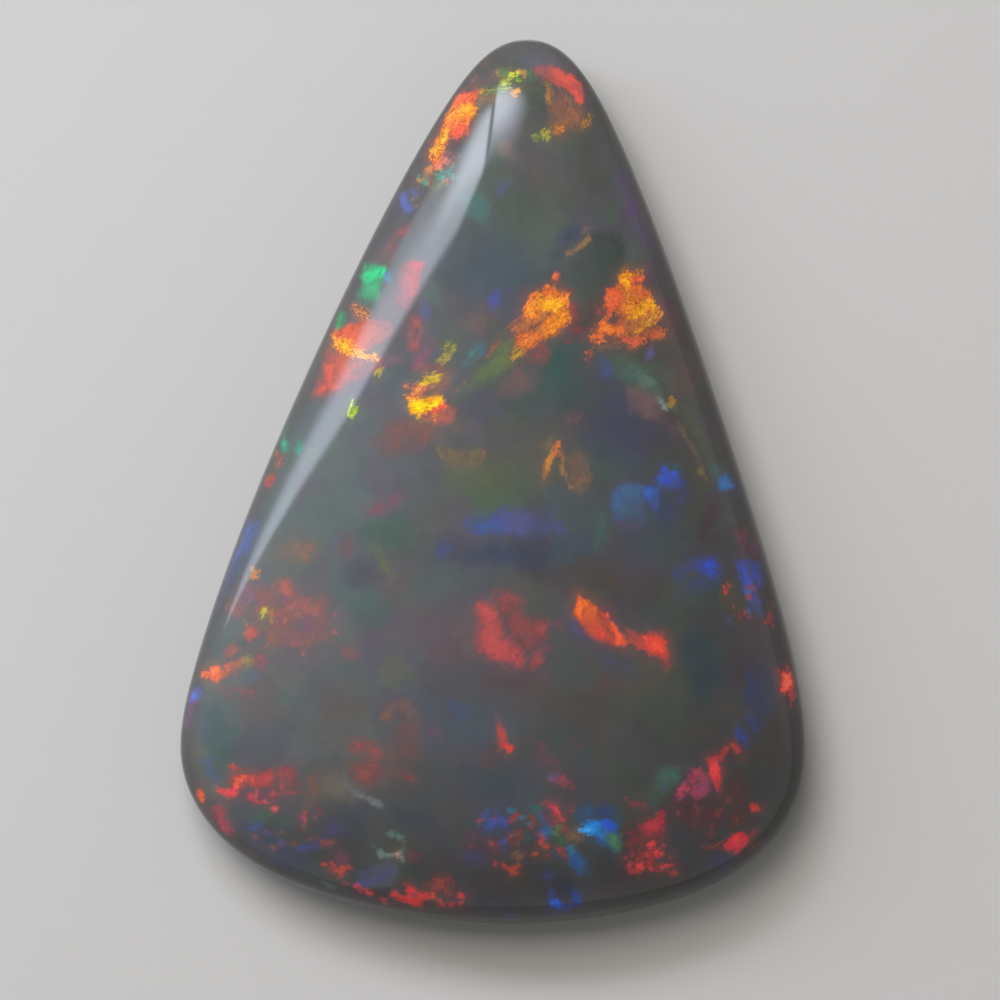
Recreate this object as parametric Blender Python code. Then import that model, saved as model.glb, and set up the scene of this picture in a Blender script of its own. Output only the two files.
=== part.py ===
"""Polished free-form opal cabochon: one natural stone lying on its flat ground back.

Metres, +Z up. The origin is under the middle of the stone, on the surface it lies on.
+Y runs from the broad end to the narrow end, and +X is to the right, seen from above.
"""
import math

import bmesh
import bpy
import numpy as np

MM = 0.001

# Driving dimensions
LENGTH = 26.0 * MM
WIDTH = 18.4 * MM
GIRDLE_HEIGHT = 1.5 * MM
DOME_HEIGHT = 3.1 * MM
BACK_INSET = 1.25 * MM

# The dome's cross-section: 0.5 gives elliptic arcs, and less gives a flatter top
DOME_POWER = 0.47

# How far the edge under the girdle rolls over before it meets the flat back
ROLL_UNDER = math.radians(64.0)

# Facets: directions round the stone, rings up the dome and rings under the girdle
DIRECTIONS = 120
DOME_RINGS = 24
ROLL_RINGS = 6

# Highest power in the sum of waves that shapes the dome
WAVE_POWERS = 16

# The search for the dome's highest place: rounds, and the length of its trial steps
CLIMBS = 12
CLIMB_NUDGE = 0.1 * MM

# Halvings of the way from the crown to the girdle, to find a ring on it
HALVINGS = 40

# The girdle seen from above, clockwise from the narrow end, in mm from the middle of the stone
GIRDLE_POINTS = (
    (0.55, 12.90),     # top of the narrow end
    (1.85, 12.70),
    (3.65, 10.10),     # right shoulder
    (6.95, 1.15),      # right flank
    (9.15, -7.30),     # right corner
    (8.60, -10.00),
    (6.25, -11.95),
    (1.00, -13.00),    # broad end
    (-3.65, -12.55),
    (-7.45, -11.00),   # left corner
    (-9.15, -8.60),
    (-8.85, -5.55),
    (-6.15, 1.75),     # left flank
    (-1.00, 11.65),    # left shoulder
)


def closed_curve(points, count):
    """Return count places on the smooth closed curve through the points, and their outward normals."""
    knots = np.array(points)
    chords = np.linalg.norm(np.roll(knots, -1, axis=0) - knots, axis=1)
    spans = np.sqrt(chords)
    size = len(knots)
    system = np.zeros((size, size))
    pull = np.zeros((size, 2))
    for i in range(size):
        before, after = spans[i - 1], spans[i]
        step_in = (knots[i] - knots[i - 1]) / before
        step_out = (knots[(i + 1) % size] - knots[i]) / after
        system[i, i - 1] += before
        system[i, i] += 2.0 * (before + after)
        system[i, (i + 1) % size] += after
        pull[i] = 6.0 * (step_out - step_in)
    bends = np.linalg.solve(system, pull)

    starts = np.concatenate(([0.0], np.cumsum(spans)))
    along = np.arange(count) / count * starts[-1]
    span = np.searchsorted(starts, along, side="right") - 1
    following = (span + 1) % size
    width = spans[span][:, None]
    done = (along - starts[span])[:, None]
    left = width - done
    places = (
        (bends[span] * left**3 + bends[following] * done**3) / (6.0 * width)
        + (knots[span] / width - bends[span] * width / 6.0) * left
        + (knots[following] / width - bends[following] * width / 6.0) * done
    )
    tangents = np.roll(places, -1, axis=0) - np.roll(places, 1, axis=0)
    tangents /= np.linalg.norm(tangents, axis=1)[:, None]
    outward = np.stack((-tangents[:, 1], tangents[:, 0]), axis=1)
    return places, outward


def girdle_curve(count):
    """The girdle in metres, centred and stretched to the driving length and width."""
    places, outward = closed_curve(GIRDLE_POINTS, count)
    low, high = places.min(axis=0), places.max(axis=0)
    scale = np.array((WIDTH, LENGTH)) / (high - low)
    return (places - (low + high) / 2.0) * scale, outward


def waves(places):
    """The harmonic waves up to WAVE_POWERS at each place: they are what a soap film can add."""
    around = (places[..., 0] + 1j * places[..., 1]) / (LENGTH / 2.0)
    columns = [np.ones(around.shape)]
    for power in range(1, WAVE_POWERS + 1):
        columns.append((around**power).real)
        columns.append((around**power).imag)
    return np.stack(columns, axis=-1)


def fit_film(girdle):
    """Weights of the waves for a soap film that is blown up a little and held at the girdle."""
    bulge = (girdle**2).sum(axis=1) / 4.0
    return np.linalg.lstsq(waves(girdle), bulge, rcond=None)[0]


def film(weights, places):
    """The film's rise at each place: it is highest in the middle and falls to zero at the girdle."""
    return waves(places) @ weights - (places**2).sum(axis=-1) / 4.0


def find_crown(weights, place):
    """Climb from the place to where the film is highest, along X and Y in turn."""
    for _ in range(CLIMBS):
        for nudge in np.eye(2) * CLIMB_NUDGE:
            behind, here, ahead = film(weights, np.array((place - nudge, place, place + nudge)))
            place = place + nudge * (ahead - behind) / (2.0 * (2.0 * here - ahead - behind))
    return place


def stone_rings():
    """Rings of places from the edge of the flat back, round the girdle and up to the last dome ring."""
    girdle, outward = girdle_curve(DIRECTIONS)
    weights = fit_film(girdle)
    crown = find_crown(weights, girdle.mean(axis=0))
    crown_rise = film(weights, crown)

    rings = []
    for step in range(ROLL_RINGS, 0, -1):
        angle = ROLL_UNDER * step / ROLL_RINGS
        inset = BACK_INSET * (1.0 - math.cos(angle)) / (1.0 - math.cos(ROLL_UNDER))
        height = GIRDLE_HEIGHT * (1.0 - math.sin(angle) / math.sin(ROLL_UNDER))
        rings.append((girdle - outward * inset, height))
    rings.append((girdle, GIRDLE_HEIGHT))

    for step in range(1, DOME_RINGS):
        rise = math.sin(math.pi / 2.0 * step / DOME_RINGS)
        wanted = crown_rise * rise ** (1.0 / DOME_POWER)
        near = np.zeros((DIRECTIONS, 1))
        far = np.ones((DIRECTIONS, 1))
        for _ in range(HALVINGS):
            middle = (near + far) / 2.0
            higher = film(weights, crown + middle * (girdle - crown)) > wanted
            near = np.where(higher[:, None], middle, near)
            far = np.where(higher[:, None], far, middle)
        rings.append((crown + near * (girdle - crown), GIRDLE_HEIGHT + DOME_HEIGHT * rise))
    return rings, crown


def opal_material():
    """Precious opal, domed on a wheel and polished: grey milky silica with a glassy face."""
    material = bpy.data.materials.new("polished_opal")
    material.use_nodes = True
    shader = material.node_tree.nodes["Principled BSDF"]
    shader.inputs["Base Color"].default_value = (0.13, 0.14, 0.15, 1.0)
    shader.inputs["Metallic"].default_value = 0.0
    shader.inputs["Roughness"].default_value = 0.06
    shader.inputs["IOR"].default_value = 1.45
    return material


def build_opal(collection):
    """A sphere whose rings are set on the stone's rings, ground flat below."""
    rings, crown = stone_rings()
    model = bmesh.new()
    bmesh.ops.create_uvsphere(model, u_segments=DIRECTIONS, v_segments=2 * DOME_RINGS, radius=1.0)

    below = []
    for vertex in model.verts:
        latitude = math.asin(max(-1.0, min(1.0, vertex.co.z)))
        ring = ROLL_RINGS + round(latitude / (math.pi / 2.0) * DOME_RINGS)
        if ring < 0:
            below.append(vertex)
        elif ring == len(rings):
            vertex.co = (crown[0], crown[1], GIRDLE_HEIGHT + DOME_HEIGHT)
        else:
            turn = math.atan2(vertex.co.y, vertex.co.x) / (2.0 * math.pi)
            places, height = rings[ring]
            x, y = places[round(-turn * DIRECTIONS) % DIRECTIONS]
            vertex.co = (x, y, height)
    bmesh.ops.delete(model, geom=below, context="VERTS")

    rim = [edge for edge in model.edges if edge.is_boundary]
    bmesh.ops.holes_fill(model, edges=rim, sides=0)
    bmesh.ops.recalc_face_normals(model, faces=model.faces)

    mesh = bpy.data.meshes.new("opal")
    model.to_mesh(mesh)
    model.free()
    mesh.shade_smooth()
    mesh.set_sharp_from_angle(angle=math.radians(35.0))
    mesh.materials.append(opal_material())
    stone = bpy.data.objects.new("opal", mesh)
    collection.objects.link(stone)
    return stone


def main():
    for old in list(bpy.data.objects):
        bpy.data.objects.remove(old, do_unlink=True)
    collection = bpy.data.collections.new("opal_cabochon")
    bpy.context.scene.collection.children.link(collection)
    build_opal(collection)


main()
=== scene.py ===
"""Visual model of a polished free-form opal cabochon, seen from straight above on a pale floor."""
import math

import bpy
import numpy as np
from mathutils import Matrix, Vector, noise


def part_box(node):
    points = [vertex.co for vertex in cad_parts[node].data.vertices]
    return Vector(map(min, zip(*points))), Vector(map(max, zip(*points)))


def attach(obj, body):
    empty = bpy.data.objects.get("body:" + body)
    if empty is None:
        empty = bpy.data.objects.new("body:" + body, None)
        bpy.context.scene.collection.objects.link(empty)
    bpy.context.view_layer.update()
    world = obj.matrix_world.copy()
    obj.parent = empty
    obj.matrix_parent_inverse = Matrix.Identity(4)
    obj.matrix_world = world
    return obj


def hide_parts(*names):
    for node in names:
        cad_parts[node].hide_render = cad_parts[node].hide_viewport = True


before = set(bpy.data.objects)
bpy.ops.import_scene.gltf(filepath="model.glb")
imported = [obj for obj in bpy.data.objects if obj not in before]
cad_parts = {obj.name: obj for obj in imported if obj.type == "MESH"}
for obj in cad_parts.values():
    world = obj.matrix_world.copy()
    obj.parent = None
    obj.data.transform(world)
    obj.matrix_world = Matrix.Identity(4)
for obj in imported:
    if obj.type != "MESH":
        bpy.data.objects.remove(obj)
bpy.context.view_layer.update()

MM = 0.001

# The stone, in metres: the outer size is read from the frame, and the rest is the part's own
LOW, HIGH = (np.array(corner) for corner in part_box("opal"))
WIDTH, LENGTH, HEIGHT = HIGH - LOW
GIRDLE_HEIGHT = 1.5 * MM
DOME_HEIGHT = HEIGHT - GIRDLE_HEIGHT
BACK_INSET = 1.25 * MM
DOME_POWER = 0.47
ROLL_UNDER = math.radians(64.0)
WAVE_POWERS = 16

# The girdle seen from above, clockwise from the narrow end, in mm from the middle of the stone
GIRDLE_POINTS = (
    (0.55, 12.90), (1.85, 12.70), (3.65, 10.10), (6.95, 1.15), (9.15, -7.30), (8.60, -10.00), (6.25, -11.95),
    (1.00, -13.00), (-3.65, -12.55), (-7.45, -11.00), (-9.15, -8.60), (-8.85, -5.55), (-6.15, 1.75),
    (-1.00, 11.65),
)

# Cells along each side of the grid that becomes the dome, and rings from the girdle to the back
DOME_CELLS = 288
ROLL_RINGS = 10

# Places worked out on the girdle's curve for each one that is kept
GIRDLE_FINENESS = 8

# Share of the sine in the spacing of the dome's rings, which draws them together at the girdle
RIM_CROWDING = 0.7

# Climbs and nudge that find the crown, and halvings that find a place between the crown and the girdle
CROWN_CLIMBS = 12
CROWN_NUDGE = 0.1 * MM
HALVINGS = 30

# Share of the way out from which a place counts as lying on the rim
ON_RIM = 1.0 - 1e-6

# Angle between two faces above which the edge between them looks sharp
SHARP_ANGLE = math.radians(20.0)

# The photograph: its scale at the girdle, and the place above which the camera stands
PIXELS = 1000
PIXELS_PER_MM = 34.0
CAMERA_PLACE = (0.20, -0.54)
CAMERA_LENS = 300.0
SENSOR = 36.0

# Body colours with painted light and shade: lighter on the left, darker to the right and low on the dome,
# with the places in mm between which they change
BODY_LIT_LEFT = "626466"
BODY_SHADED_RIGHT = "474645"
BODY_SHADED_LOW = "434547"
BODY_SHADE_ACROSS = (-9.0, 9.0)
BODY_SHADE_DOWN = (6.0, 13.0)

# The band round the girdle with no play of colour: its own grey, with painted light at the upper left and
# painted shade at the lower right, the slant of the line between them, the places in mm between which they
# change, its width and its strength
RIM_LIT_LEFT = "494543"
RIM_SHADED_RIGHT = "241F1C"
RIM_SHADE_SLANT = 0.5
RIM_SHADE_ACROSS = (-3.0, 5.0)
RIM_BAND = 0.75
RIM_STRENGTH = 0.75

# One in how many girdle places measures the depth inside the rim
RIM_STRIDE = 4

# Least drop in mm that counts as under the girdle, and how far the pattern goes on outwards there
LEAST_DROP = 1e-4
UNDER_SPREAD = 2.0

# Kinds of flash: softness and raggedness of the edge in mm, depth of the wisps, depth of the creases, and
# how far its grain is drawn out into silky streaks
KINDS = {
    "foil": (0.05, 0.20, 0.12, 0.9, 0.55),
    "ember": (0.07, 0.28, 0.50, 0.45, 0.20),
    "petal": (0.07, 0.12, 0.20, 0.15, 0.22),
    "speck": (0.06, 0.12, 0.30, 0.20, 0.10),
    "fibre": (0.10, 0.18, 0.75, 0.20, 0.75),
    "pane": (0.11, 0.10, 0.25, 0.0, 0.3),
    "glow": (0.22, 0.15, 0.30, 0.0, 0.3),
    "disc": (0.05, 0.07, 0.05, 0.9, 0.85),
    "film": (0.18, 0.16, 0.30, 0.20, 0.25),
    "haze": (0.28, 0.40, 0.75, 0.1, 0.3),
}

# What is stored for the flashes on each vertex, as four colour attributes
FLASH_PARTS = ("paint", "other", "look", "more")

# How much a flash loses on the side that it fades to
FADE = 0.75

# The milky halo round a flash: its strength, how far out it reaches, and the depths between which it grows
HALO = 0.10
HALO_REACH = 0.45
HALO_LEVELS = {"From Min": -HALO_REACH, "From Max": 0.15}

# How far round a flash its depth is worked out, and the depth given beyond that, in mm
MARGIN = 1.0
FAR_OUTSIDE = -3.0

# The setting of a node that eases between two levels instead of running straight
EASED = {"interpolation_type": "SMOOTHSTEP"}

# Noises in the grain of a flash, with their sizes in mm. A streak is 0.55 mm long and 0.07 mm wide.
STREAK_SCALE = (1.0 / 0.55, 1.0 / 0.07, 1.0 / 0.07)
STREAK_NOISE = {"Scale": 1.0, "Detail": 3.0, "Roughness": 0.6}
MOTTLE_NOISE = {"Scale": 1.0 / 0.45, "Detail": 5.0, "Roughness": 0.65}
FINE_NOISE = {"Scale": 1.0 / 0.10, "Detail": 2.0}
FOLD_NOISE = {"Scale": 1.0 / 0.40, "Detail": 3.0, "Distortion": 1.2}
MIDDLE_OF_NOISE = 0.5

# Noise levels that the mottling turns into 0 and 1
PATTERN_LEVELS = {"From Min": 0.34, "From Max": 0.66}

# A flash is thin where its mottling and its fine grain, taken in these shares, are low
DENSITY_OF_PATTERN = 0.7
DENSITY_OF_FINE = 0.6
THIN_LEVELS = {"From Min": 0.75, "From Max": 0.35}

# Shares of depth, mottling and fine grain in a flash's tone, the depth in mm at which the first is full, and
# the tones at which its second and its first colour show alone
TONE_OF_DEPTH = 0.4
TONE_OF_PATTERN = 0.5
TONE_OF_FINE = 0.2
CORE_LEVELS = {"From Min": 0.0, "From Max": 0.30}
TONE_LEVELS = {"From Min": 0.25, "From Max": 0.85}

# Width of a crease as a share of its swing, its shade, and size in mm, middle and strength of the grain
FOLD_LEVELS = {"From Min": 0.03, "From Max": 0.0}
FOLD_SHADE = -0.5
GRAIN_SIZE = 0.07
GRAIN_MIDDLE = 0.45
SPARKLE = 0.5

# Depths in mm inside the rim between which the flashes grow to their full strength
RIM_LEVELS = {"From Min": 0.0, "From Max": 0.25}

# The body's domains of slightly different hue, 1.25 mm wide: bend of their borders in mm, and strength
DOMAINS = {"Scale": 1.0 / 1.25, "Smoothness": 0.5}
DOMAIN_BEND = 0.9
DOMAIN_STRENGTH = 0.11

# The mist in the body, with features 0.625 mm wide, and the brightness that its noise levels give
MIST_NOISE = {"Scale": 1.0 / 0.625, "Detail": 6.0, "Roughness": 0.7}
MIST_LEVELS = {"From Min": 0.3, "From Max": 0.7, "To Min": 0.94, "To Max": 1.07}

# The surface: its refractive index, and its roughness from the ground back to the polish, by height in mm
REFRACTIVE_INDEX = 1.45
ROUGHNESS_LEVELS = {"From Min": 0.02, "From Max": 0.06, "To Min": 0.38, "To Max": 0.07}

# The floor: colour, roughness and shine of the paint, side in metres and drop below the stone
FLOOR_COLOUR = "C9C8C5"
FLOOR_ROUGHNESS = 0.9
FLOOR_SHINE = 0.1
FLOOR_SIDE = 1.2
FLOOR_DROP = 0.01 * MM

# Outlines are written as x and y in turn, in hundredths of a millimetre
OUTLINE_UNIT = 0.01

# Half length of a tiny speck in mm, and the shares between which its length and its width are drawn
SPECK_SIZE = 0.11
SPECK_LENGTHS = (0.6, 1.3)
SPECK_WIDTHS = (0.4, 0.8)

# A cloud's reach and the width of its soft border, as shares of its half width, and the noise that frays it:
# strength, turns in a millimetre, and dimension, gain in fineness and octaves of the fractal
CLOUD_REACH = 1.65
CLOUD_SOFTNESS = 1.4
CLOUD_FRAYING = 0.4
CLOUD_TURNS = 1.1
CLOUD_FRACTAL = (0.9, 2.0, 4)

# Wide and fine wandering of the clouds: turns in a millimetre and reach in mm, and the seed of its noise,
# which Blender would take from the clock
CLOUD_SEED = 5
WIDE_TURNS = 0.8
WIDE_REACH = 0.35
FINE_TURNS = 3.0
FINE_REACH = 0.16

# The plane of the window light that the left flank mirrors
WINDOW_PLACE = (-0.0853, 0.0469, 0.0557)
WINDOW_ACROSS = (-0.6476, -0.3861, 0.6569)
WINDOW_ALONG = (0.6099, 0.2542, 0.7506)
WINDOW_COLOUR = "E6EEFF"

# The cards on that plane: name, two corners in mm from its middle, radiance and fades. A fade is
# (a, b, off, on): the card is dark where a x + b y is off, and bright where it is on.
WINDOW_CARDS = (
    ("window_strip", (-17.0, -86.0), (17.0, 76.0), 7.8, (
        (1.0, 0.0, -17.0, 2.0), (1.0, 0.2, 20.5, 15.5), (1.0, -0.18, 17.0, 12.0), (0.7, 1.0, 71.0, 65.0),
        (0.0, 1.0, -86.0, -66.0), (0.0, 1.0, -160.0, 10.0),
    )),
    ("window_top", (-33.0, 20.0), (2.0, 76.0), 14.5, (
        (1.0, 0.0, 2.0, -14.0), (0.0, 1.0, 24.0, 56.0), (-1.0, 1.0, 81.0, 78.5), (0.7, 1.0, 71.0, 65.0),
        (1.0, 0.0, -33.0, -26.0),
    )),
    ("window_side", (-46.0, 45.0), (-6.0, 125.0), 15.5, (
        (-1.0, 1.0, 83.0, 86.0), (0.0, 1.0, 125.0, 62.0), (1.0, 0.0, -6.0, -27.0), (1.0, 0.0, -46.0, -32.0),
    )),
    ("window_veil", (-26.0, -20.0), (2.0, 55.0), 3.5, (
        (1.0, 0.0, -26.0, -18.0), (1.0, 0.0, 2.0, -12.0), (0.0, 1.0, -20.0, 0.0), (0.0, 1.0, 55.0, 40.0),
    )),
)

# The soft box above, which the polish doesn't mirror: place and side in metres, and its sides' directions
OVERHEAD_PLACE = (-0.12, 0.22, 0.42)
OVERHEAD_ACROSS = (1.0, 0.0, 0.0)
OVERHEAD_UP = (0.0, 0.9, -0.45)
OVERHEAD_SIDE = 0.30
OVERHEAD_RADIANCE = 4.6
OVERHEAD_COLOUR = "FFF7EE"

# The dim walls: their brightness from the horizon up
WALL_LEVELS = {"From Min": 0.0, "From Max": 0.75, "To Min": 0.65, "To Max": 0.18}
WALL_COLOUR = "FFFFFF"

# Soft clouds in the body: centre, half length and half width in mm, turn in degrees, colour and strength
CLOUDS = (
    (1.96, 8.29, 3.53, 2.06, -20, "555C5A", 0.9),  # body upper
    (1.23, 12.55, 1.18, 0.53, 0, "62656A", 0.8),  # tip grey
    # The next cloud is painted light: a lighter, bluish grey along the left flank, where the window light
    # falls
    (-4.80, -0.54, 1.76, 5.00, -26, "62696D", 0.6),  # left flank light
    (0.14, 8.38, 0.18, 0.26, 0, "565A98", 0.6),  # violet behind highlight
    (-0.45, 7.91, 0.26, 0.32, 20, "4C7C76", 0.6),  # teal behind highlight
    (-2.04, 4.96, 0.15, 0.18, 0, "566492", 0.6),  # blue behind disc
    (0.32, 9.67, 0.26, 0.26, 60, "846A66", 0.55),  # red smudge
    (4.14, 8.17, 0.35, 1.18, -22, "54465E", 0.7),  # purple edge upper right
    (4.67, 6.46, 0.38, 0.94, -22, "504658", 0.7),  # violet low on upper right
    (5.38, 4.82, 0.47, 1.18, -20, "5A4A4C", 0.6),  # brown edge right
    (5.73, 3.23, 0.47, 0.88, -25, "5C4C48", 0.6),  # brown flank right
    (0.88, 8.32, 0.88, 0.65, 0, "565E52", 0.6),  # olive zone a
    (1.23, 8.88, 0.82, 0.65, 0, "5E5658", 0.6),  # mauve zone
    (2.96, 9.49, 0.71, 0.71, 0, "5A5E52", 0.5),  # olive zone b
    (1.96, 10.35, 0.76, 0.41, 0, "5C6050", 0.5),  # olive zone c
    (2.85, 4.88, 0.35, 0.47, -15, "564440", 0.6),  # dark between golds
    (0.20, 6.29, 1.41, 1.29, 0, "4A5862", 0.65),  # blue middle top
    (0.11, 5.35, 0.24, 0.32, -20, "50589C", 0.75),  # blue dot
    (-0.39, 4.88, 0.65, 0.35, 20, "665852", 0.5),  # rust smudge above gold
    (3.14, 3.17, 0.21, 0.44, 10, "4A5A92", 0.8),  # blue-purple
    (3.44, 1.82, 0.76, 1.35, 0, "434B5C", 0.7),  # slate blue region
    (4.02, 1.46, 1.00, 0.76, -20, "434854", 0.6),  # navy swirl
    (4.41, 3.88, 0.12, 0.21, 0, "5E5A94", 0.8),  # violet at gold right
    (5.14, 5.20, 0.24, 0.53, -20, "5A4458", 0.6),  # purple right of gold
    (3.91, 2.99, 0.65, 0.35, -20, "4C6258", 0.6),  # teal right of streak
    (4.49, 3.41, 0.59, 0.24, -35, "5A5248", 0.4),  # brown between
    (-2.15, 1.52, 1.06, 0.47, 15, "70605E", 0.5),  # red-brown haze
    (1.85, 2.94, 1.12, 1.00, 0, "42574F", 0.8),  # teal region
    (2.14, 3.46, 0.59, 0.41, 0, "3C5650", 0.7),  # teal leaf
    (-1.56, 4.02, 0.59, 0.41, 45, "5A6050", 0.5),  # green speck hazes
    (0.55, 0.23, 1.06, 0.71, 0, "575F4C", 0.85),  # green zone a
    (-0.15, -0.54, 0.71, 0.41, 0, "4E6652", 0.6),  # green zone b
    (1.52, 0.88, 0.88, 0.76, 0, "5E5B4E", 0.6),  # olive zone d
    (-1.12, 0.05, 0.65, 0.53, 0, "556452", 0.5),  # green zone c
    (3.14, 0.35, 0.59, 0.41, 0, "465450", 0.6),  # dark green leaf
    (0.79, -2.06, 2.35, 0.53, 0, "434858", 0.85),  # navy band low
    (3.73, -1.86, 1.76, 0.65, 0, "484C58", 0.6),  # slate right of band
    (-1.54, -1.86, 0.24, 0.18, 0, "4C5684", 0.55),  # blue dot middle
    (-3.06, -1.54, 0.76, 0.59, 0, "485F50", 0.6),  # green left middle
    (-3.71, -2.74, 0.44, 0.50, 0, "544E58", 0.75),  # dark spot left
    (-3.48, -3.77, 0.44, 0.47, 0, "4C5E5A", 0.55),  # green below spot
    (-1.74, -4.36, 1.41, 0.82, 0, "68555A", 0.6),  # mauve haze middle
    (-0.98, -3.95, 0.76, 0.53, 0, "62535A", 0.5),  # maroon haze middle
    (-0.39, -6.42, 1.18, 1.00, 0, "5A5050", 0.5),  # red haze low middle
    (0.20, -5.89, 0.65, 0.41, 0, "644848", 0.5),  # dull red below lobes
    (2.55, -2.65, 1.18, 0.59, 0, "4A4442", 0.6),  # dark brown right of lobes
    (6.49, -1.01, 0.32, 0.76, -12, "4C3644", 0.65),  # maroon haze right
    (7.73, -1.86, 0.18, 0.53, -12, "5E3A40", 0.65),  # edge maroon right
    (5.79, -3.48, 1.00, 0.59, 0, "42504C", 0.5),  # teal right middle
    (6.20, -5.51, 0.59, 0.88, 0, "35454A", 0.75),  # dark teal right
    (4.32, -3.18, 1.18, 0.47, 0, "4C4640", 0.5),  # brown left of dark teal
    (3.49, -6.42, 1.76, 1.65, 0, "504E48", 0.7),  # olive grey centre right
    (3.38, -6.01, 0.41, 0.29, 0, "5E484A", 0.55),  # dull red dot centre
    (4.91, -7.30, 0.88, 1.00, 0, "474744", 0.6),  # dark olive right
    (-7.92, -4.89, 0.53, 0.35, 0, "48605E", 0.6),  # dark teal left low
    (-8.15, -7.30, 0.29, 0.76, -10, "485C64", 0.6),  # teal grey left
    (-8.30, -8.42, 0.24, 0.47, 0, "4A5E88", 0.5),  # dull blue rim left
    (-8.09, -9.06, 0.35, 0.24, 0, "48625C", 0.6),  # teal rim left
    (-6.27, -6.54, 0.21, 0.18, 0, "506A60", 0.5),  # green dot low left
    (-0.92, -6.51, 0.26, 0.24, 0, "4A5A7E", 0.65),  # blue dot low
    (-3.21, -8.42, 1.00, 0.76, 0, "6E5150", 0.5),  # red haze a
    (-4.51, -6.42, 0.76, 0.65, 0, "655452", 0.5),  # red haze e
    (-6.80, -10.48, 0.76, 0.41, -20, "4E4A66", 0.6),  # violet grey low left
    (-6.12, -11.06, 0.71, 0.35, -22, "424860", 0.7),  # dark blue low left
    (-5.45, -10.68, 0.26, 0.15, 20, "4A58A0", 0.6),  # blue tip low left
    (-6.86, -9.83, 0.24, 0.18, 0, "4A6458", 0.55),  # green fleck low left
    (-2.15, -8.77, 0.88, 0.76, 0, "4A5052", 0.5),  # slate left of wisp
    (0.20, -9.06, 1.00, 0.76, 0, "434C5C", 0.6),  # slate blue low
    (-0.33, -10.71, 0.71, 0.53, 0, "543E50", 0.5),  # purple haze low
    (0.20, -11.83, 0.59, 0.41, 0, "4A4842", 0.5),  # olive dark low
    (1.96, -7.59, 0.88, 0.53, 0, "40504E", 0.6),  # dark teal middle low
    (3.79, -10.01, 0.35, 0.59, 0, "40544E", 0.5),  # teal by fan
    (4.32, -9.36, 0.47, 0.35, 0, "4C564E", 0.5),  # green grey by patch
    (7.91, -6.12, 0.35, 0.65, 0, "3E4458", 0.6),  # slate rim right
    (8.44, -7.59, 0.29, 1.18, 0, "463E3A", 0.6),  # brown right rim
    (6.08, -9.65, 1.00, 0.65, 0, "523A3E", 0.5),  # maroon right low
    (4.61, -11.71, 1.76, 0.41, 8, "42383A", 0.6),  # brown low right
    (-1.74, 5.41, 0.26, 0.35, 0, "586E6A", 0.5),  # teal under highlight
    (-2.62, 3.44, 0.21, 0.18, 0, "8A625C", 0.6),  # red brown in the shade
    (-3.04, 3.46, 0.26, 0.32, 0, "66627A", 0.6),  # violet in the shade
    (-1.51, 2.88, 0.29, 0.29, 0, "876258", 0.5),  # brown by disc
    (-7.33, -4.74, 0.35, 0.18, 10, "465A5C", 0.6),  # dark teal in coral
    (-7.80, -7.71, 0.47, 0.47, 0, "465E60", 0.5),  # teal low left
    (-4.15, -5.01, 0.26, 0.26, 0, "855C5C", 0.6),  # pink dot by coral
    (1.08, -5.83, 1.00, 0.41, 0, "5A4A48", 0.5),  # brown under red
    (1.38, -11.83, 0.76, 0.65, 0, "403834", 0.6),  # brown low centre
    (-8.33, -8.09, 0.21, 0.15, 0, "565A98", 0.4),  # violet top of rim blue
    (5.14, -0.77, 0.47, 0.47, 0, "3E4662", 0.6),  # navy under vivid
    (-2.68, -10.12, 0.59, 0.35, 0, "424E4E", 0.5),  # dark slate by bracket
    (-2.62, -7.12, 0.71, 0.76, 0, "665050", 0.5),  # brown red mist
    (4.02, 3.29, 0.88, 0.53, -35, "4A6256", 0.7),  # green behind streak
    (0.79, 7.88, 0.59, 0.76, 30, "525A4C", 0.6),  # olive streak top
    (3.14, 9.32, 0.76, 1.47, -22, "4E4E4C", 0.7),  # body right of tip
    (-0.68, -7.01, 1.47, 1.18, 0, "4C5660", 0.55),  # slate middle low
    (-4.74, -8.77, 0.59, 0.47, 0, "6E665E", 0.9),  # warm grey low left
    (4.38, 2.41, 0.41, 0.35, 0, "72605A", 0.9),  # warm grey by the castle
)

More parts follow.
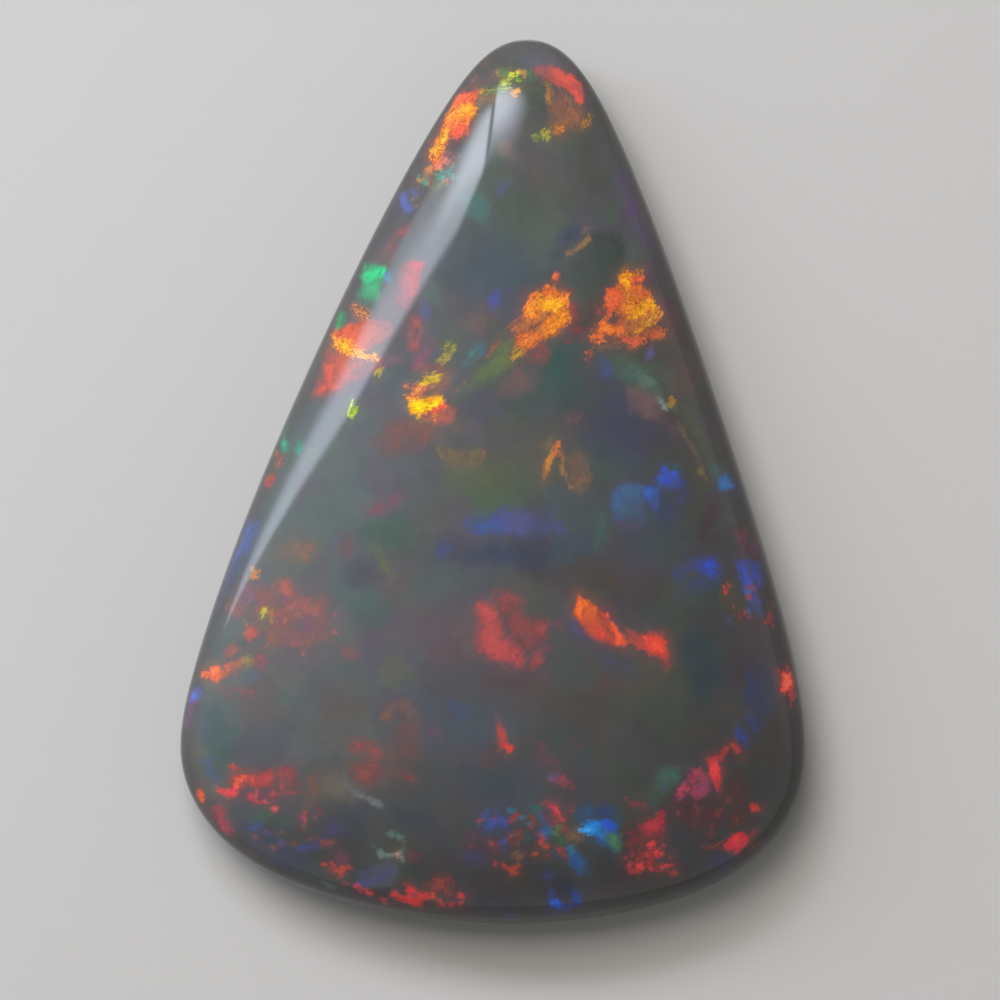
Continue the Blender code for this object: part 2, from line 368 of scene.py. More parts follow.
# Flashes: name, kind, turn of the streaks and direction of fading in degrees, two colours, strength, and
# the corners of the outline
FLASHES = (
    ("red arc", "petal", -35, 200, "F0604E D2564A", 1,
     111,1199, 120,1211, 141,1220, 167,1220, 196,1208, 232,1194, 255,1173, 267,1141, 264,1111, 252,1102,
     241,1111, 229,1129, 211,1152, 185,1161, 155,1176, 132,1191),
    ("brown curtain", "film", 88, 60, "9C6448 7A5E4C", 0.9,
     173,1158, 214,1152, 235,1129, 264,1099, 285,1070, 276,1041, 238,1032, 202,1023, 170,1017, 161,1058,
     158,1111),
    ("olive by curtain", "haze", 80, 270, "66704A 566048", 0.35,
     102,1170, 132,1170, 141,1111, 144,1046, 114,1041, 96,1094),
    ("gold band", "foil", 55, None, "F08A3C DE5A44", 1,
     -39,1152, -56,1149, -83,1135, -112,1120, -115,1102, -133,1070, -154,1029, -174,988, -180,958,
     -177,935, -168,911, -154,914, -145,946, -151,970, -136,1005, -112,1011, -89,1017, -80,1044, -56,1070,
     -51,1105, -45,1129),
    ("dull red at tip", "haze", 55, 60, "945058 7E545A", 0.8,
     -80,1173, -101,1158, -112,1138, -92,1135, -74,1152, -65,1170),
    ("yellow green crest", "foil", 12, 180, "B4B442 6E9850", 0.95,
     -45,1138, -39,1149, -15,1152, 8,1158, 23,1176, 41,1179, 55,1170, 44,1158, 32,1146, 8,1141, -21,1138),
    ("green below crest", "haze", 75, 250, "5E7C58 56705A", 0.8,
     96,1205, 120,1202, 126,1176, 120,1158, 102,1164),
    ("green pane", "pane", 70, 250, "30D488 3AA870", 1,
     -371,632, -348,641, -315,629, -309,611, -321,582, -330,558, -333,538, -354,520, -380,526, -395,546,
     -380,570, -389,599),
    ("blue beside green", "pane", 70, 20, "3C9CC0 5080B8", 0.8,
     -321,623, -298,617, -292,596, -309,582, -324,591),
    ("small green", "pane", 70, None, "39B070 2F9A60", 0.9,
     -448,496, -436,491, -442,458, -456,444, -462,467),
    ("brick red", "film", 60, 240, "9C5E5A 84585A", 0.8,
     -351,646, -330,676, -309,696, -295,720, -271,744, -251,749, -245,738, -268,711, -286,682, -286,646,
     -304,629, -333,635),
    ("red under the highlight", "petal", 80, 200, "C04A50 A8464A", 0.95,
     -262,638, -233,644, -206,635, -215,579, -224,541, -248,502, -274,496, -289,523, -283,564, -277,605),
    ("rust streaks", "fibre", -42, None, "E08A48 9A5C46", 0.95,
     -415,520, -392,517, -368,499, -348,476, -362,461, -386,473, -409,494),
    ("upper coral", "petal", 15, 0, "EC6844 D0503C", 1,
     -468,441, -439,446, -409,461, -374,470, -333,473, -298,470, -298,435, -321,411, -356,388, -398,370,
     -439,382, -462,394),
    ("lower coral", "film", 10, 0, "D4604A B4504A", 0.95,
     -474,382, -433,379, -392,367, -327,355, -309,341, -339,317, -380,305, -415,294, -451,267, -480,258,
     -521,258, -504,299, -486,346),
    ("yellow speck by coral", "foil", 60, None, "C8A84C A89A50", 0.9,
     -356,326, -342,341, -324,352, -318,332, -330,308, -348,308),
    ("yellow green speck", "foil", 70, None, "C4CC38 8FAE3A", 1,
     -409,232, -392,226, -395,199, -412,188, -421,208),
    ("teal specks", "pane", 70, None, "43B890 3A9A80", 0.9, -615,123, -598,114, -604,91, -621,88),
    ("teal specks right", "pane", 70, None, "43A088 3A9A80", 0.7, -568,114, -554,102, -565,76, -583,88),
    ("rim orange", "ember", 70, None, "C8684A B8584A", 0.8, -636,85, -615,76, -630,52, -648,61),
    ("rim red", "ember", 70, None, "B8504A A8484A", 0.7, -659,20, -645,11, -656,-15, -671,-6),
    ("rim green", "pane", 70, None, "3FA070 3A9A70", 0.7, -618,170, -604,164, -618,132, -630,141),
    ("rim blue", "glow", 70, 250, "4A6CC0 5064A0", 0.9,
     -724,-118, -695,-124, -709,-171, -736,-218, -762,-265, -792,-324, -821,-383, -839,-395, -821,-336,
     -792,-265, -762,-195),
    ("crimson over gold disc", "film", 78, 0, "AC605A 8A5658", 0.9,
     -233,479, -204,485, -192,464, -186,435, -195,405, -215,382, -239,385, -239,417, -236,446),
    ("rust above disc", "ember", 12, 20, "C4644A 98604E", 0.9,
     -248,279, -233,285, -204,279, -162,288, -127,276, -121,252, -139,241, -186,244, -227,244, -251,258),
    ("gold disc", "disc", 15, None, "FCC41C F49A2A", 1,
     -245,235, -233,241, -201,244, -168,246, -148,249, -139,241, -148,223, -168,214, -186,202, -204,194,
     -221,185, -239,199, -248,217),
    ("coral behind disc", "ember", 25, 10, "E06A4C B45C54", 0.95,
     -215,194, -186,205, -156,223, -133,223, -112,205, -109,185, -133,170, -168,170, -192,176),
    ("gold flash left", "foil", 42, 225, "EC8830 C66032", 1,
     152,567, 173,567, 188,549, 211,544, 223,526, 217,499, 226,479, 217,458, 196,438, 185,420, 167,414,
     141,402, 111,388, 96,367, 73,358, 52,358, 61,388, 52,411, 61,435, 44,446, 55,461, 79,476, 91,502,
     96,526, 114,544, 135,552),
    ("crimson under gold", "glow", 40, 230, "A84848 8C4C4C", 0.9,
     102,376, 126,388, 149,396, 155,376, 146,349, 129,332, 111,335, 96,355),
    ("orange dot", "petal", 45, None, "F07848 D85A3A", 1, 170,605, 179,608, 188,602, 182,591, 170,591),
    ("red right of gold", "haze", 20, 0, "943C3E 6E4242", 0.8,
     217,570, 232,546, 249,499, 273,470, 285,441, 255,417, 226,411, 217,446, 232,476, 223,517),
    ("dark leaf", "film", 60, 210, "3F4943 3E4442", 0.95,
     267,723, 291,723, 332,729, 376,714, 385,676, 373,629, 349,582, 314,555, 273,552, 232,564, 202,591,
     214,632, 226,664, 246,685),
    ("navy streak", "glow", 60, 240, "3E4459 434A5E", 0.8,
     202,735, 238,746, 261,735, 238,694, 208,664, 185,629, 173,588, 152,564, 149,605, 167,652, 185,694),
    ("gold flash right", "foil", 58, 240, "EA842E CC5E2E", 1,
     367,602, 385,620, 411,614, 435,617, 435,599, 417,582, 417,570, 441,564, 458,546, 470,529, 476,511,
     494,496, 485,476, 464,458, 455,446, 479,446, 505,444, 508,426, 476,417, 435,414, 408,402, 373,411,
     335,420, 311,408, 291,408, 279,423, 285,444, 305,458, 314,476, 332,485, 332,467, 352,467, 367,482,
     346,494, 320,488, 323,508, 335,532, 346,558, 361,570, 370,585),
    ("olive diagonal", "film", 60, 240, "687848 5C6C4E", 0.8,
     67,423, 79,388, 44,329, 2,288, -39,267, -80,244, -112,217, -133,229, -104,276, -62,317, -21,358,
     26,402),
    ("red brown below olive", "film", 15, 200, "805A58 6E5A5A", 0.7,
     -4,282, 35,311, 79,326, 126,335, 141,305, 120,264, 64,241, 14,235, -9,252),
    ("olive specks", "foil", 60, None, "A09A4C 70724C", 0.8,
     -156,391, -139,405, -112,396, -106,379, -130,370, -151,373),
    ("pale green streak", "film", -50, 140, "648474 526C5E", 0.7,
     373,370, 420,341, 455,323, 479,305, 491,270, 502,235, 479,241, 444,270, 396,311),
    ("yellow speck", "ember", -62, None, "AC8230 8E7840", 0.95,
     505,258, 517,249, 529,229, 532,208, 517,217, 508,238),
    ("diagonal gold thread", "petal", -58, None, "745E4A 6A5C4C", 0.75,
     526,191, 532,191, 561,149, 585,102, 605,55, 599,52, 576,94, 549,141),
    ("olive band right", "glow", -62, 280, "565E42 525A4A", 0.8,
     538,229, 573,235, 602,182, 632,123, 661,64, 649,35, 620,52, 591,105, 561,164),
    ("teal corner", "glow", -50, 120, "40686A 44625E", 0.85, 620,70, 649,70, 673,46, 673,11, 644,5, 626,35),
    ("blue square", "pane", 5, None, "3A70B4 3C64A0", 1, 658,17, 685,23, 702,-12, 699,-21, 661,-21),
    ("brown swirl", "film", -42, 320, "7A5A58 66545A", 0.75,
     391,270, 432,255, 479,220, 526,173, 555,129, 538,126, 491,155, 444,191, 408,229),
    ("orange arc", "fibre", 60, None, "72784C 666A4C", 0.6, -74,58, -62,79, -45,94, -42,82, -56,64),
    ("orange hairline", "petal", 75, None, "D08840 B0743E", 0.95,
     167,94, 182,88, 173,67, 164,52, 158,29, 155,5, 144,2, 144,23, 149,46, 155,67),
    ("orange branch", "ember", 60, None, "CC7440 A46A44", 0.95,
     164,88, 176,99, 188,108, 194,94, 202,70, 205,55, 194,61, 185,76, 173,76),
    ("orange leaf", "film", 75, 170, "94684A 806250", 0.85,
     220,82, 241,94, 258,76, 273,46, 282,17, 279,-12, 255,-24, 229,-18, 214,5, 205,35, 208,64),
    ("blue pane", "film", 75, 300, "466C90 4A659C", 0.85,
     352,-36, 367,-18, 402,-12, 435,-18, 441,-54, 444,-124, 402,-124, 352,-121, 346,-77),
    ("blue bridge", "pane", 80, 260, "3C6CBC 3C5CB0", 0.9,
     432,-21, 455,-15, 482,-18, 482,-54, 479,-95, 464,-89, 441,-65),
    ("vivid blue", "pane", 65, 280, "2E5CEC 3A60CC", 1,
     476,-1, 488,23, 499,41, 514,35, 538,29, 546,-21, 514,-27, 476,-27),
    ("indigo tail", "film", -55, 320, "404C94 404670", 0.8,
     546,11, 561,-6, 579,-42, 561,-59, 538,-77, 544,-36),
    ("teal wedge", "glow", 75, 100, "48745E 44665C", 0.8,
     302,-77, 332,-83, 338,-118, 326,-159, 314,-195, 296,-218, 291,-189, 299,-142),
    ("olive streak", "film", -55, None, "707048 646A4E", 0.75,
     -354,-183, -339,-189, -315,-218, -295,-254, -286,-277, -301,-277, -324,-248, -345,-212),
    ("violet band", "glow", 0, 0, "48549A 485488", 0.9,
     -80,-121, -39,-106, -4,-92, 38,-83, 91,-83, 138,-95, 185,-106, 202,-130, 161,-148, 108,-154, 44,-151,
     -15,-148, -62,-142),
    ("edge red", "film", 75, 250, "8E3A4A 74384A", 0.9,
     720,-148, 735,-139, 744,-159, 738,-189, 726,-198, 717,-174),
    ("blue flame", "glow", 15, 200, "3058E0 3850B0", 0.95,
     532,-259, 567,-239, 608,-227, 644,-233, 661,-256, 652,-286, 626,-277, 596,-262, 561,-265),
    ("blue haze below flame", "haze", 40, 270, "3C4C78 42506C", 0.6,
     526,-271, 579,-265, 644,-283, 655,-324, 608,-348, 549,-336),
    ("blue streak", "pane", -68, 270, "3058D8 3450B0", 0.95,
     711,-233, 735,-233, 755,-289, 782,-348, 794,-389, 773,-389, 744,-342),
    ("blue streak right", "pane", -68, 270, "3452CC 3048A0", 0.9,
     741,-233, 782,-233, 788,-274, 791,-324, 773,-312, 755,-271),
    ("orange dot right", "ember", 60, None, "D0583F B8483F", 0.95,
     667,-309, 691,-304, 699,-324, 688,-345, 670,-336),
    ("small red right", "ember", 60, None, "A84038 983C3C", 0.7, 711,-374, 729,-380, 726,-404, 708,-401),
    ("rim red streak", "ember", 70, None, "A83C3C 983838", 0.7, 805,-368, 820,-380, 811,-415, 794,-421),
    ("red speck right", "ember", 60, None, "FF4834 E43830", 1,
     844,-559, 861,-551, 876,-568, 873,-601, 858,-612, 846,-601),
    ("red speck trail", "ember", 80, None, "C03A34 A8383A", 0.85, 864,-624, 882,-618, 885,-654, 867,-656),
    ("blue patch right", "glow", 50, 20, "3C5CC8 3A4C98", 0.85,
     720,-724, 749,-718, 758,-751, 732,-768, 714,-754),
    ("blue patch right low", "glow", 50, 20, "3A50A4 3A4890", 0.7,
     752,-674, 779,-683, 785,-718, 761,-724, 744,-701),
    ("slate haze right", "haze", 70, None, "3A4670 3A4258", 0.55,
     738,-565, 779,-559, 802,-612, 791,-654, 749,-654, 732,-612),
    ("red tick", "petal", 60, None, "F04A4C D04044", 1,
     694,-765, 705,-762, 720,-783, 723,-795, 708,-795, 699,-783),
    ("red tick small", "ember", 45, None, "B8403C A03A3C", 0.8, 664,-786, 682,-783, 682,-804, 667,-809),
    ("crimson lobe left", "film", 60, None, "BC5250 A44C4C", 0.95,
     -48,-368, -36,-354, -15,-354, -1,-371, 14,-392, 26,-415, 38,-442, 52,-465, 76,-489, 96,-512, 96,-536,
     67,-536, 26,-524, -15,-509, -39,-489, -45,-454, -39,-406),
    ("crimson band top", "film", -35, 330, "B04C50 84484A", 0.9,
     5,-324, 26,-315, 49,-327, 76,-339, 96,-365, 111,-395, 108,-418, 85,-401, 55,-365, 26,-345),
    ("crimson arm", "film", 60, 180, "B0504C 84484A", 0.85,
     96,-418, 120,-412, 141,-404, 161,-406, 158,-442, 146,-462, 126,-456, 102,-445),
    ("crimson foot", "petal", 70, 100, "B4504C 94484A", 0.9,
     117,-480, 141,-471, 170,-474, 155,-501, 138,-524, 126,-551, 108,-554, 99,-530, 108,-501),
    ("orange flash", "petal", -48, 300, "E0622E D04C3C", 1,
     249,-327, 261,-345, 279,-351, 299,-365, 317,-380, 329,-380, 341,-401, 355,-424, 370,-442, 388,-456,
     396,-471, 382,-483, 358,-477, 335,-471, 311,-456, 288,-451, 267,-436, 252,-412, 241,-383, 244,-356),
    ("red flash", "petal", -30, 150, "F2523E DC4838", 1,
     379,-424, 402,-430, 426,-442, 441,-448, 452,-436, 473,-436, 494,-448, 505,-474, 514,-501, 505,-518,
     485,-509, 467,-504, 452,-512, 441,-492, 423,-486, 405,-468, 388,-459, 396,-442),
    ("red tall", "petal", 85, 90, "F04E40 CC443C", 1,
     11,-680, 17,-680, 26,-706, 35,-736, 38,-759, 55,-774, 49,-783, 32,-774, 20,-777, 14,-754, 11,-718),
    ("maroon by red tall", "haze", 80, 180, "664446 5C4848", 0.7,
     -51,-765, -4,-754, 14,-789, -9,-824, -45,-818),
    ("dull red strokes", "film", 80, None, "7E4A50 6C484E", 0.75, 126,-754, 149,-759, 155,-812, 135,-824),
    ("blue arc faint", "glow", -28, None, "4C5070 4A5060", 0.6,
     308,-477, 338,-501, 379,-518, 414,-536, 402,-565, 361,-554, 320,-524),
    ("coral cloud", "glow", 20, None, "865F5C 785F5E", 0.8,
     -715,-318, -680,-301, -651,-306, -615,-295, -568,-312, -527,-324, -480,-324, -468,-359, -468,-401,
     -480,-442, -521,-465, -568,-477, -615,-477, -662,-471, -680,-436, -656,-406, -692,-365),
    ("coral lobe low", "film", -30, 300, "865E5E 6E5C5C", 0.6,
     -451,-495, -427,-477, -392,-477, -380,-506, -404,-530, -433,-524),
    ("dull orange cloud", "film", 12, 180, "90685A 7A6458", 0.8,
     -654,-215, -615,-189, -571,-171, -533,-180, -512,-206, -545,-230, -598,-230, -639,-236),
    ("dull red dot", "film", 60, None, "745658 6A5658", 0.6,
     -442,-151, -404,-159, -398,-206, -430,-236, -454,-201),
    ("orange at highlight foot", "ember", 50, None, "C47C50 AA8458", 0.9,
     -724,-289, -715,-271, -704,-256, -689,-265, -692,-283, -706,-295),
    ("yellow specks", "ember", 40, 300, "AA8450 9A6C50", 0.85,
     -692,-365, -668,-362, -648,-377, -639,-401, -651,-421, -668,-442, -692,-436, -715,-424, -715,-404,
     -695,-401),
    ("coral under yellow", "petal", 40, None, "C0605A A05C5A", 0.9,
     -727,-442, -718,-424, -698,-418, -680,-430, -686,-456, -706,-465, -727,-459),
    ("orange comet", "ember", 28, 20, "E87248 CC6446", 1,
     -845,-568, -836,-551, -821,-542, -804,-533, -789,-545, -768,-536, -754,-521, -736,-509, -715,-515,
     -706,-533, -733,-551, -762,-562, -786,-571, -801,-589, -812,-583, -833,-580),
    ("crimson by comet", "film", 55, None, "A05A60 80585E", 0.85,
     -704,-556, -704,-530, -686,-509, -665,-509, -665,-536, -683,-551),
    ("red streaks low left", "film", 5, 0, "AC5C58 82605A", 0.85,
     -768,-606, -745,-601, -709,-598, -680,-606, -692,-624, -733,-621, -762,-618),
    ("dull streaks low left", "film", 80, None, "7E6260 74605E", 0.6,
     -792,-583, -768,-595, -774,-630, -792,-633, -798,-606),
    ("rim violet", "glow", 70, None, "5A78D8 6468B8", 1, -895,-612, -865,-609, -871,-642, -895,-648),
    ("rim magenta", "film", 70, None, "7C5CA8 84527A", 0.8,
     -904,-651, -871,-642, -886,-677, -892,-712, -912,-724, -909,-683),
    ("rim orange red", "petal", 75, None, "F4703C DC5038", 0.95,
     -865,-904, -859,-898, -851,-918, -851,-936, -859,-939, -865,-921),
    ("castle wall", "film", 2, None, "AC4C4E 944648", 0.9,
     -762,-859, -745,-854, -704,-854, -680,-851, -639,-845, -639,-892, -680,-898, -715,-892, -745,-898,
     -751,-912, -774,-912),
    ("castle keep", "film", 88, 240, "A44A4C 8A4648", 0.9,
     -645,-845, -615,-836, -574,-839, -571,-883, -565,-904, -586,-918, -621,-915, -645,-895),
    ("castle gate", "film", 88, None, "744C56 6E4E58", 0.65,
     -745,-901, -680,-895, -633,-898, -615,-924, -651,-948, -704,-942, -739,-927),
    ("castle turret", "ember", 60, None, "B85A54 984E4E", 0.9,
     -768,-833, -756,-827, -742,-836, -742,-851, -756,-848),
    ("brown smear", "film", 85, None, "7A5C4E 6C5A54", 0.65,
     -539,-848, -509,-842, -504,-889, -521,-936, -545,-965, -559,-948, -548,-901),
    ("orange fleck", "petal", 60, None, "DC5E48 B85448", 0.9,
     -562,-989, -556,-968, -542,-959, -545,-977, -556,-998),
    ("crimson rim low left", "film", 60, None, "B04A58 944650", 0.95,
     -830,-962, -801,-956, -786,-980, -777,-1001, -762,-1027, -777,-1036, -801,-1018, -818,-989),
    ("red blocks", "film", 5, 300, "A04E50 8A4E4E", 0.85,
     -415,-765, -398,-751, -368,-754, -345,-768, -324,-780, -327,-801, -356,-795, -386,-804, -412,-789),
    ("red blocks low", "film", 20, None, "94504E 7E4C4C", 0.8,
     -418,-830, -392,-821, -356,-812, -321,-821, -321,-848, -345,-871, -374,-883, -398,-865, -421,-848),
    ("rust arcs", "film", 20, 330, "84624E 785C56", 0.75,
     -324,-683, -309,-659, -283,-642, -251,-639, -224,-654, -204,-689, -209,-724, -233,-706, -256,-671,
     -286,-671, -304,-695),
    ("dull red mist", "film", 60, None, "72504F 66504F", 0.6,
     -262,-689, -227,-701, -204,-742, -209,-789, -239,-812, -274,-795, -286,-754),
    ("dim red foot", "film", -22, None, "A05048 844A48", 0.85,
     -274,-848, -256,-848, -233,-859, -239,-868, -262,-859),
    ("purple squiggle", "film", 75, None, "74505C 5C5068", 0.65,
     -189,-748, -180,-706, -165,-706, -154,-754, -168,-765, -174,-736, -183,-765),
    ("pale wisp", "petal", -50, None, "787E7E 6C7276", 0.75,
     -439,-833, -430,-836, -427,-865, -415,-889, -398,-904, -368,-918, -339,-930, -318,-945, -330,-951,
     -362,-936, -398,-921, -421,-901, -436,-874),
    ("crescent inclusion", "petal", -15, None, "708A84 62786F", 0.85,
     -309,-1024, -295,-1021, -277,-1027, -262,-1042, -259,-1054, -277,-1042, -295,-1036),
    ("bracket inclusion", "petal", 5, None, "7C8E86 60786F", 0.9,
     -339,-1080, -330,-1074, -318,-1086, -298,-1086, -280,-1083, -268,-1068, -262,-1056, -254,-1068,
     -256,-1089, -262,-1109, -274,-1098, -295,-1095, -318,-1095, -330,-1101),
    ("grey egg", "glow", 70, None, "565878 5E6268", 0.95,
     -386,-1159, -359,-1133, -333,-1112, -301,-1104, -280,-1112, -280,-1145, -289,-1171, -306,-1195,
     -333,-1201, -362,-1189, -383,-1180),
    ("ragged red low", "ember", -20, None, "E44E46 B84040", 1,
     -401,-1186, -389,-1180, -374,-1192, -356,-1195, -348,-1189, -342,-1204, -351,-1215, -368,-1209,
     -386,-1201),
    ("vivid red low", "petal", -15, None, "FA3C38 E43838", 1,
     -304,-1212, -298,-1201, -283,-1195, -271,-1209, -256,-1209, -245,-1206, -262,-1195, -248,-1186,
     -230,-1195, -212,-1204, -198,-1201, -186,-1209, -168,-1215, -186,-1224, -201,-1227, -209,-1242,
     -233,-1239, -256,-1233, -280,-1221),
    ("red specks low", "petal", -25, None, "E04A48 B84244", 1,
     -165,-1227, -151,-1227, -139,-1239, -142,-1248, -159,-1239),
    ("red haze low", "film", 60, 200, "BC4C3E 84443E", 0.9,
     -204,-1183, -186,-1159, -162,-1139, -136,-1154, -118,-1177, -127,-1206, -156,-1201, -180,-1209),
    ("crimson low left", "film", 60, 120, "84485A 704658", 0.85,
     -474,-1071, -451,-1054, -430,-1071, -415,-1101, -421,-1130, -445,-1124, -462,-1101),
    ("violet low left", "glow", -40, None, "504A6E 484860", 0.75,
     -86,-1083, -62,-1071, -33,-1089, -27,-1112, -56,-1124, -80,-1106),
    ("dark feather", "glow", -30, None, "44504E 484E4C", 0.8,
     -559,-1124, -527,-1118, -492,-1136, -462,-1177, -492,-1177, -539,-1154),
    ("small reds low", "film", 0, None, "904444 7C4444", 0.8,
     -254,-1083, -239,-1080, -224,-1092, -239,-1098),
    ("red diagonal", "petal", -42, 330, "C44C5E 9C4450", 0.9,
     170,-868, 185,-859, 205,-856, 223,-874, 246,-895, 226,-898, 202,-886, 185,-877),
    ("bright red diagonal", "petal", -52, 140, "E84A54 B84250", 1,
     138,-933, 155,-924, 173,-930, 188,-945, 196,-962, 205,-983, 194,-989, 179,-971, 167,-954, 152,-945),
    ("red sliver a", "petal", -62, None, "BC4C46 904444", 0.9,
     102,-977, 114,-974, 123,-989, 123,-1004, 111,-998),
    ("red sliver e", "petal", -40, None, "B84A5C 84484E", 0.9,
     -77,-1054, -65,-1048, -54,-1059, -54,-1071, -68,-1068),
    ("red sliver f", "petal", -15, None, "D84C3A B04838", 0.95,
     38,-1127, 55,-1118, 73,-1121, 76,-1145, 55,-1148),
    ("red blob g", "film", 10, None, "A0443E 7C4442", 0.85,
     49,-1030, 61,-1021, 79,-1021, 82,-1042, 70,-1054, 55,-1048),
    ("red sliver h", "petal", -30, None, "D85464 A84850", 0.9, 220,-948, 232,-945, 235,-956, 226,-962),
    ("crimson mist left", "film", 0, None, "684650 584452", 0.65,
     -95,-1030, -68,-1009, -39,-1018, -45,-1048, -74,-1065, -92,-1056),
    ("blue fan", "film", 45, None, "465896 434E78", 0.85,
     -33,-1018, -18,-989, -4,-968, 14,-954, 29,-962, 32,-980, 46,-992, 46,-1012, 20,-1018, -4,-1024),
    ("teal middle", "film", -55, None, "4C5A80 485870", 0.85,
     120,-968, 138,-959, 158,-983, 167,-1006, 149,-1018, 132,-1001),
    ("green speck", "film", 0, None, "4C6E5E 466258", 0.75, 88,-1027, 102,-1024, 108,-1045, 96,-1054),
    ("teal above fan", "glow", 10, None, "2E6288 30587A", 0.85,
     235,-971, 249,-954, 273,-948, 291,-959, 273,-977, 249,-989),
    ("cyan fan", "petal", -35, 300, "2E84D0 2E5C9C", 1,
     258,-1015, 270,-998, 282,-983, 305,-986, 323,-980, 349,-983, 367,-1001, 367,-1042, 361,-1083,
     349,-1089, 332,-1077, 308,-1059, 285,-1033),
    ("blue slip", "film", -60, None, "3A64AC 386088", 0.95,
     214,-1089, 232,-1083, 255,-1101, 273,-1118, 279,-1139, 255,-1142, 232,-1118),
    ("blue slip left", "film", -60, None, "3E5E8A 3C5470", 0.8,
     170,-1074, 185,-1074, 202,-1092, 196,-1104, 179,-1092),
    ("brown slip", "film", -20, None, "806448 705C48", 0.85,
     214,-1036, 223,-1018, 244,-1009, 264,-1018, 261,-1039, 244,-1051, 223,-1051),
    ("green teal patch", "glow", 55, 250, "466C70 4A6E52", 0.85,
     461,-939, 464,-906, 479,-877, 488,-848, 508,-833, 535,-839, 552,-862, 532,-895, 502,-933, 479,-945),
    ("magenta patch", "ember", 35, 340, "C44852 984864", 1,
     523,-927, 532,-898, 549,-871, 570,-851, 594,-839, 620,-842, 638,-865, 641,-901, 620,-921, 591,-924,
     561,-915, 541,-933),
    ("red beside patch", "petal", 80, None, "F0484A D04042", 1,
     626,-809, 646,-806, 655,-824, 658,-848, 667,-868, 661,-889, 670,-909, 655,-912, 644,-895, 632,-874,
     632,-851, 632,-833),
    ("crimson maple", "ember", 60, 250, "B43E48 963A42", 1,
     420,-1006, 438,-989, 461,-977, 482,-977, 494,-962, 508,-959, 502,-977, 499,-1006, 496,-1036,
     479,-1048, 485,-1071, 491,-1095, 473,-1095, 455,-1104, 432,-1101, 420,-1077, 420,-1048, 432,-1030),
    ("maple foot left", "ember", 60, None, "B04A40 7C403C", 0.9,
     394,-1133, 408,-1124, 423,-1136, 441,-1130, 441,-1154, 426,-1159, 414,-1142, 396,-1145),
    ("maple foot right", "ember", -40, None, "D04448 94403E", 0.9,
     461,-1118, 479,-1112, 502,-1115, 499,-1127, 488,-1139, 470,-1139),
    ("red line above maple", "petal", -36, None, "B84658 904050", 0.9,
     388,-921, 405,-933, 420,-927, 438,-942, 455,-962, 438,-959, 414,-948, 405,-951),
    ("rust streaks right", "film", 84, None, "5E3E38 523C38", 0.65,
     673,-865, 714,-848, 744,-889, 761,-936, 744,-983, 702,-971, 679,-924),
    ("maroon below patch", "haze", 85, 270, "62363C 563C40", 0.7,
     544,-930, 608,-936, 655,-936, 673,-1006, 626,-1036, 573,-1012, 538,-971),
    ("red speck far right", "petal", -10, None, "F44C46 CC4038", 1,
     741,-939, 755,-936, 776,-948, 779,-965, 755,-965, 744,-956),
    ("red wing", "petal", 25, None, "F03A48 DC343E", 1,
     670,-1062, 688,-1045, 708,-1030, 732,-1021, 749,-1033, 752,-1056, 735,-1074, 717,-1089, 691,-1080),
    ("wing glow", "film", 30, 0, "863A30 623832", 0.75,
     744,-1048, 773,-1030, 796,-1036, 785,-1065, 755,-1083, 732,-1083),
    ("blue under wing", "glow", 20, 200, "3C4270 3A3E5C", 0.8,
     614,-1106, 644,-1089, 691,-1089, 714,-1101, 679,-1130, 638,-1151, 620,-1136),
    ("blue ring", "petal", -20, 110, "2E5CDC 2C4298", 1,
     158,-1183, 173,-1189, 179,-1212, 191,-1227, 208,-1236, 226,-1233, 232,-1218, 229,-1198, 235,-1189,
     252,-1201, 255,-1221, 246,-1239, 223,-1254, 196,-1254, 176,-1248, 167,-1227, 161,-1206),
    ("indigo low", "glow", 0, None, "38363F 3A3A44", 0.7,
     -51,-1212, 8,-1195, 61,-1206, 61,-1254, 2,-1271, -51,-1248),
    ("spark low", "film", -20, None, "3A4284 3C4068", 0.85, 32,-1259, 49,-1256, 70,-1271, 58,-1280),
    ("salmon by rim", "haze", 55, 50, "A06668 886264", 0.7,
     -68,1185, -51,1211, -27,1232, -18,1223, -36,1199, -56,1179),
    ("mauve behind crest", "glow", 20, None, "785A5E 6E5C60", 0.7,
     -45,1164, -27,1191, -4,1205, 20,1188, 20,1170, -9,1158),
    ("lime streak", "foil", -15, None, "C8CE3C 8AA84A", 0.95,
     44,1196, 61,1196, 85,1185, 79,1173, 58,1179, 41,1185),
    ("orange over crest", "ember", 0, None, "D08A50 A87A58", 0.75,
     61,1202, 85,1205, 99,1196, 91,1185, 67,1194),
    ("orange tail of crest", "ember", -50, None, "C08450 96705A", 0.8,
     -6,1205, 8,1202, 23,1185, 20,1173, 5,1185),
    ("green behind crest", "glow", 0, None, "6A9454 627E58", 0.8, 20,1199, 44,1199, 44,1185, 26,1188),
    ("ochre below ridge", "glow", 30, 230, "A4805A 8A7060", 0.75,
     -45,1132, 2,1135, 8,1120, -21,1099, -56,1076, -56,1111),
    ("green low by curtain", "haze", 75, 250, "60785A 566A56", 0.65,
     105,1146, 129,1144, 129,1111, 111,1105),
    ("neck of gold left", "ember", 60, None, "8A5A44 6A4E46", 0.8,
     155,585, 173,594, 188,585, 185,558, 164,558, 149,564),
    ("red tick by gold", "haze", 10, None, "A83C44 884048", 0.85, 191,576, 217,573, 220,561, 196,561),
    ("tail of gold right", "ember", 70, 250, "E0704A A85444", 0.95,
     273,373, 285,379, 291,361, 285,338, 273,326, 270,352),
    ("brown under gold right", "haze", 30, 250, "8A6248 6A564A", 0.8,
     291,405, 332,414, 379,405, 414,399, 396,382, 338,382, 302,370, 285,388),
    ("red above green pane", "film", 40, 60, "AC6250 94605A", 0.85,
     -345,646, -321,676, -298,688, -289,658, -298,635, -324,635),
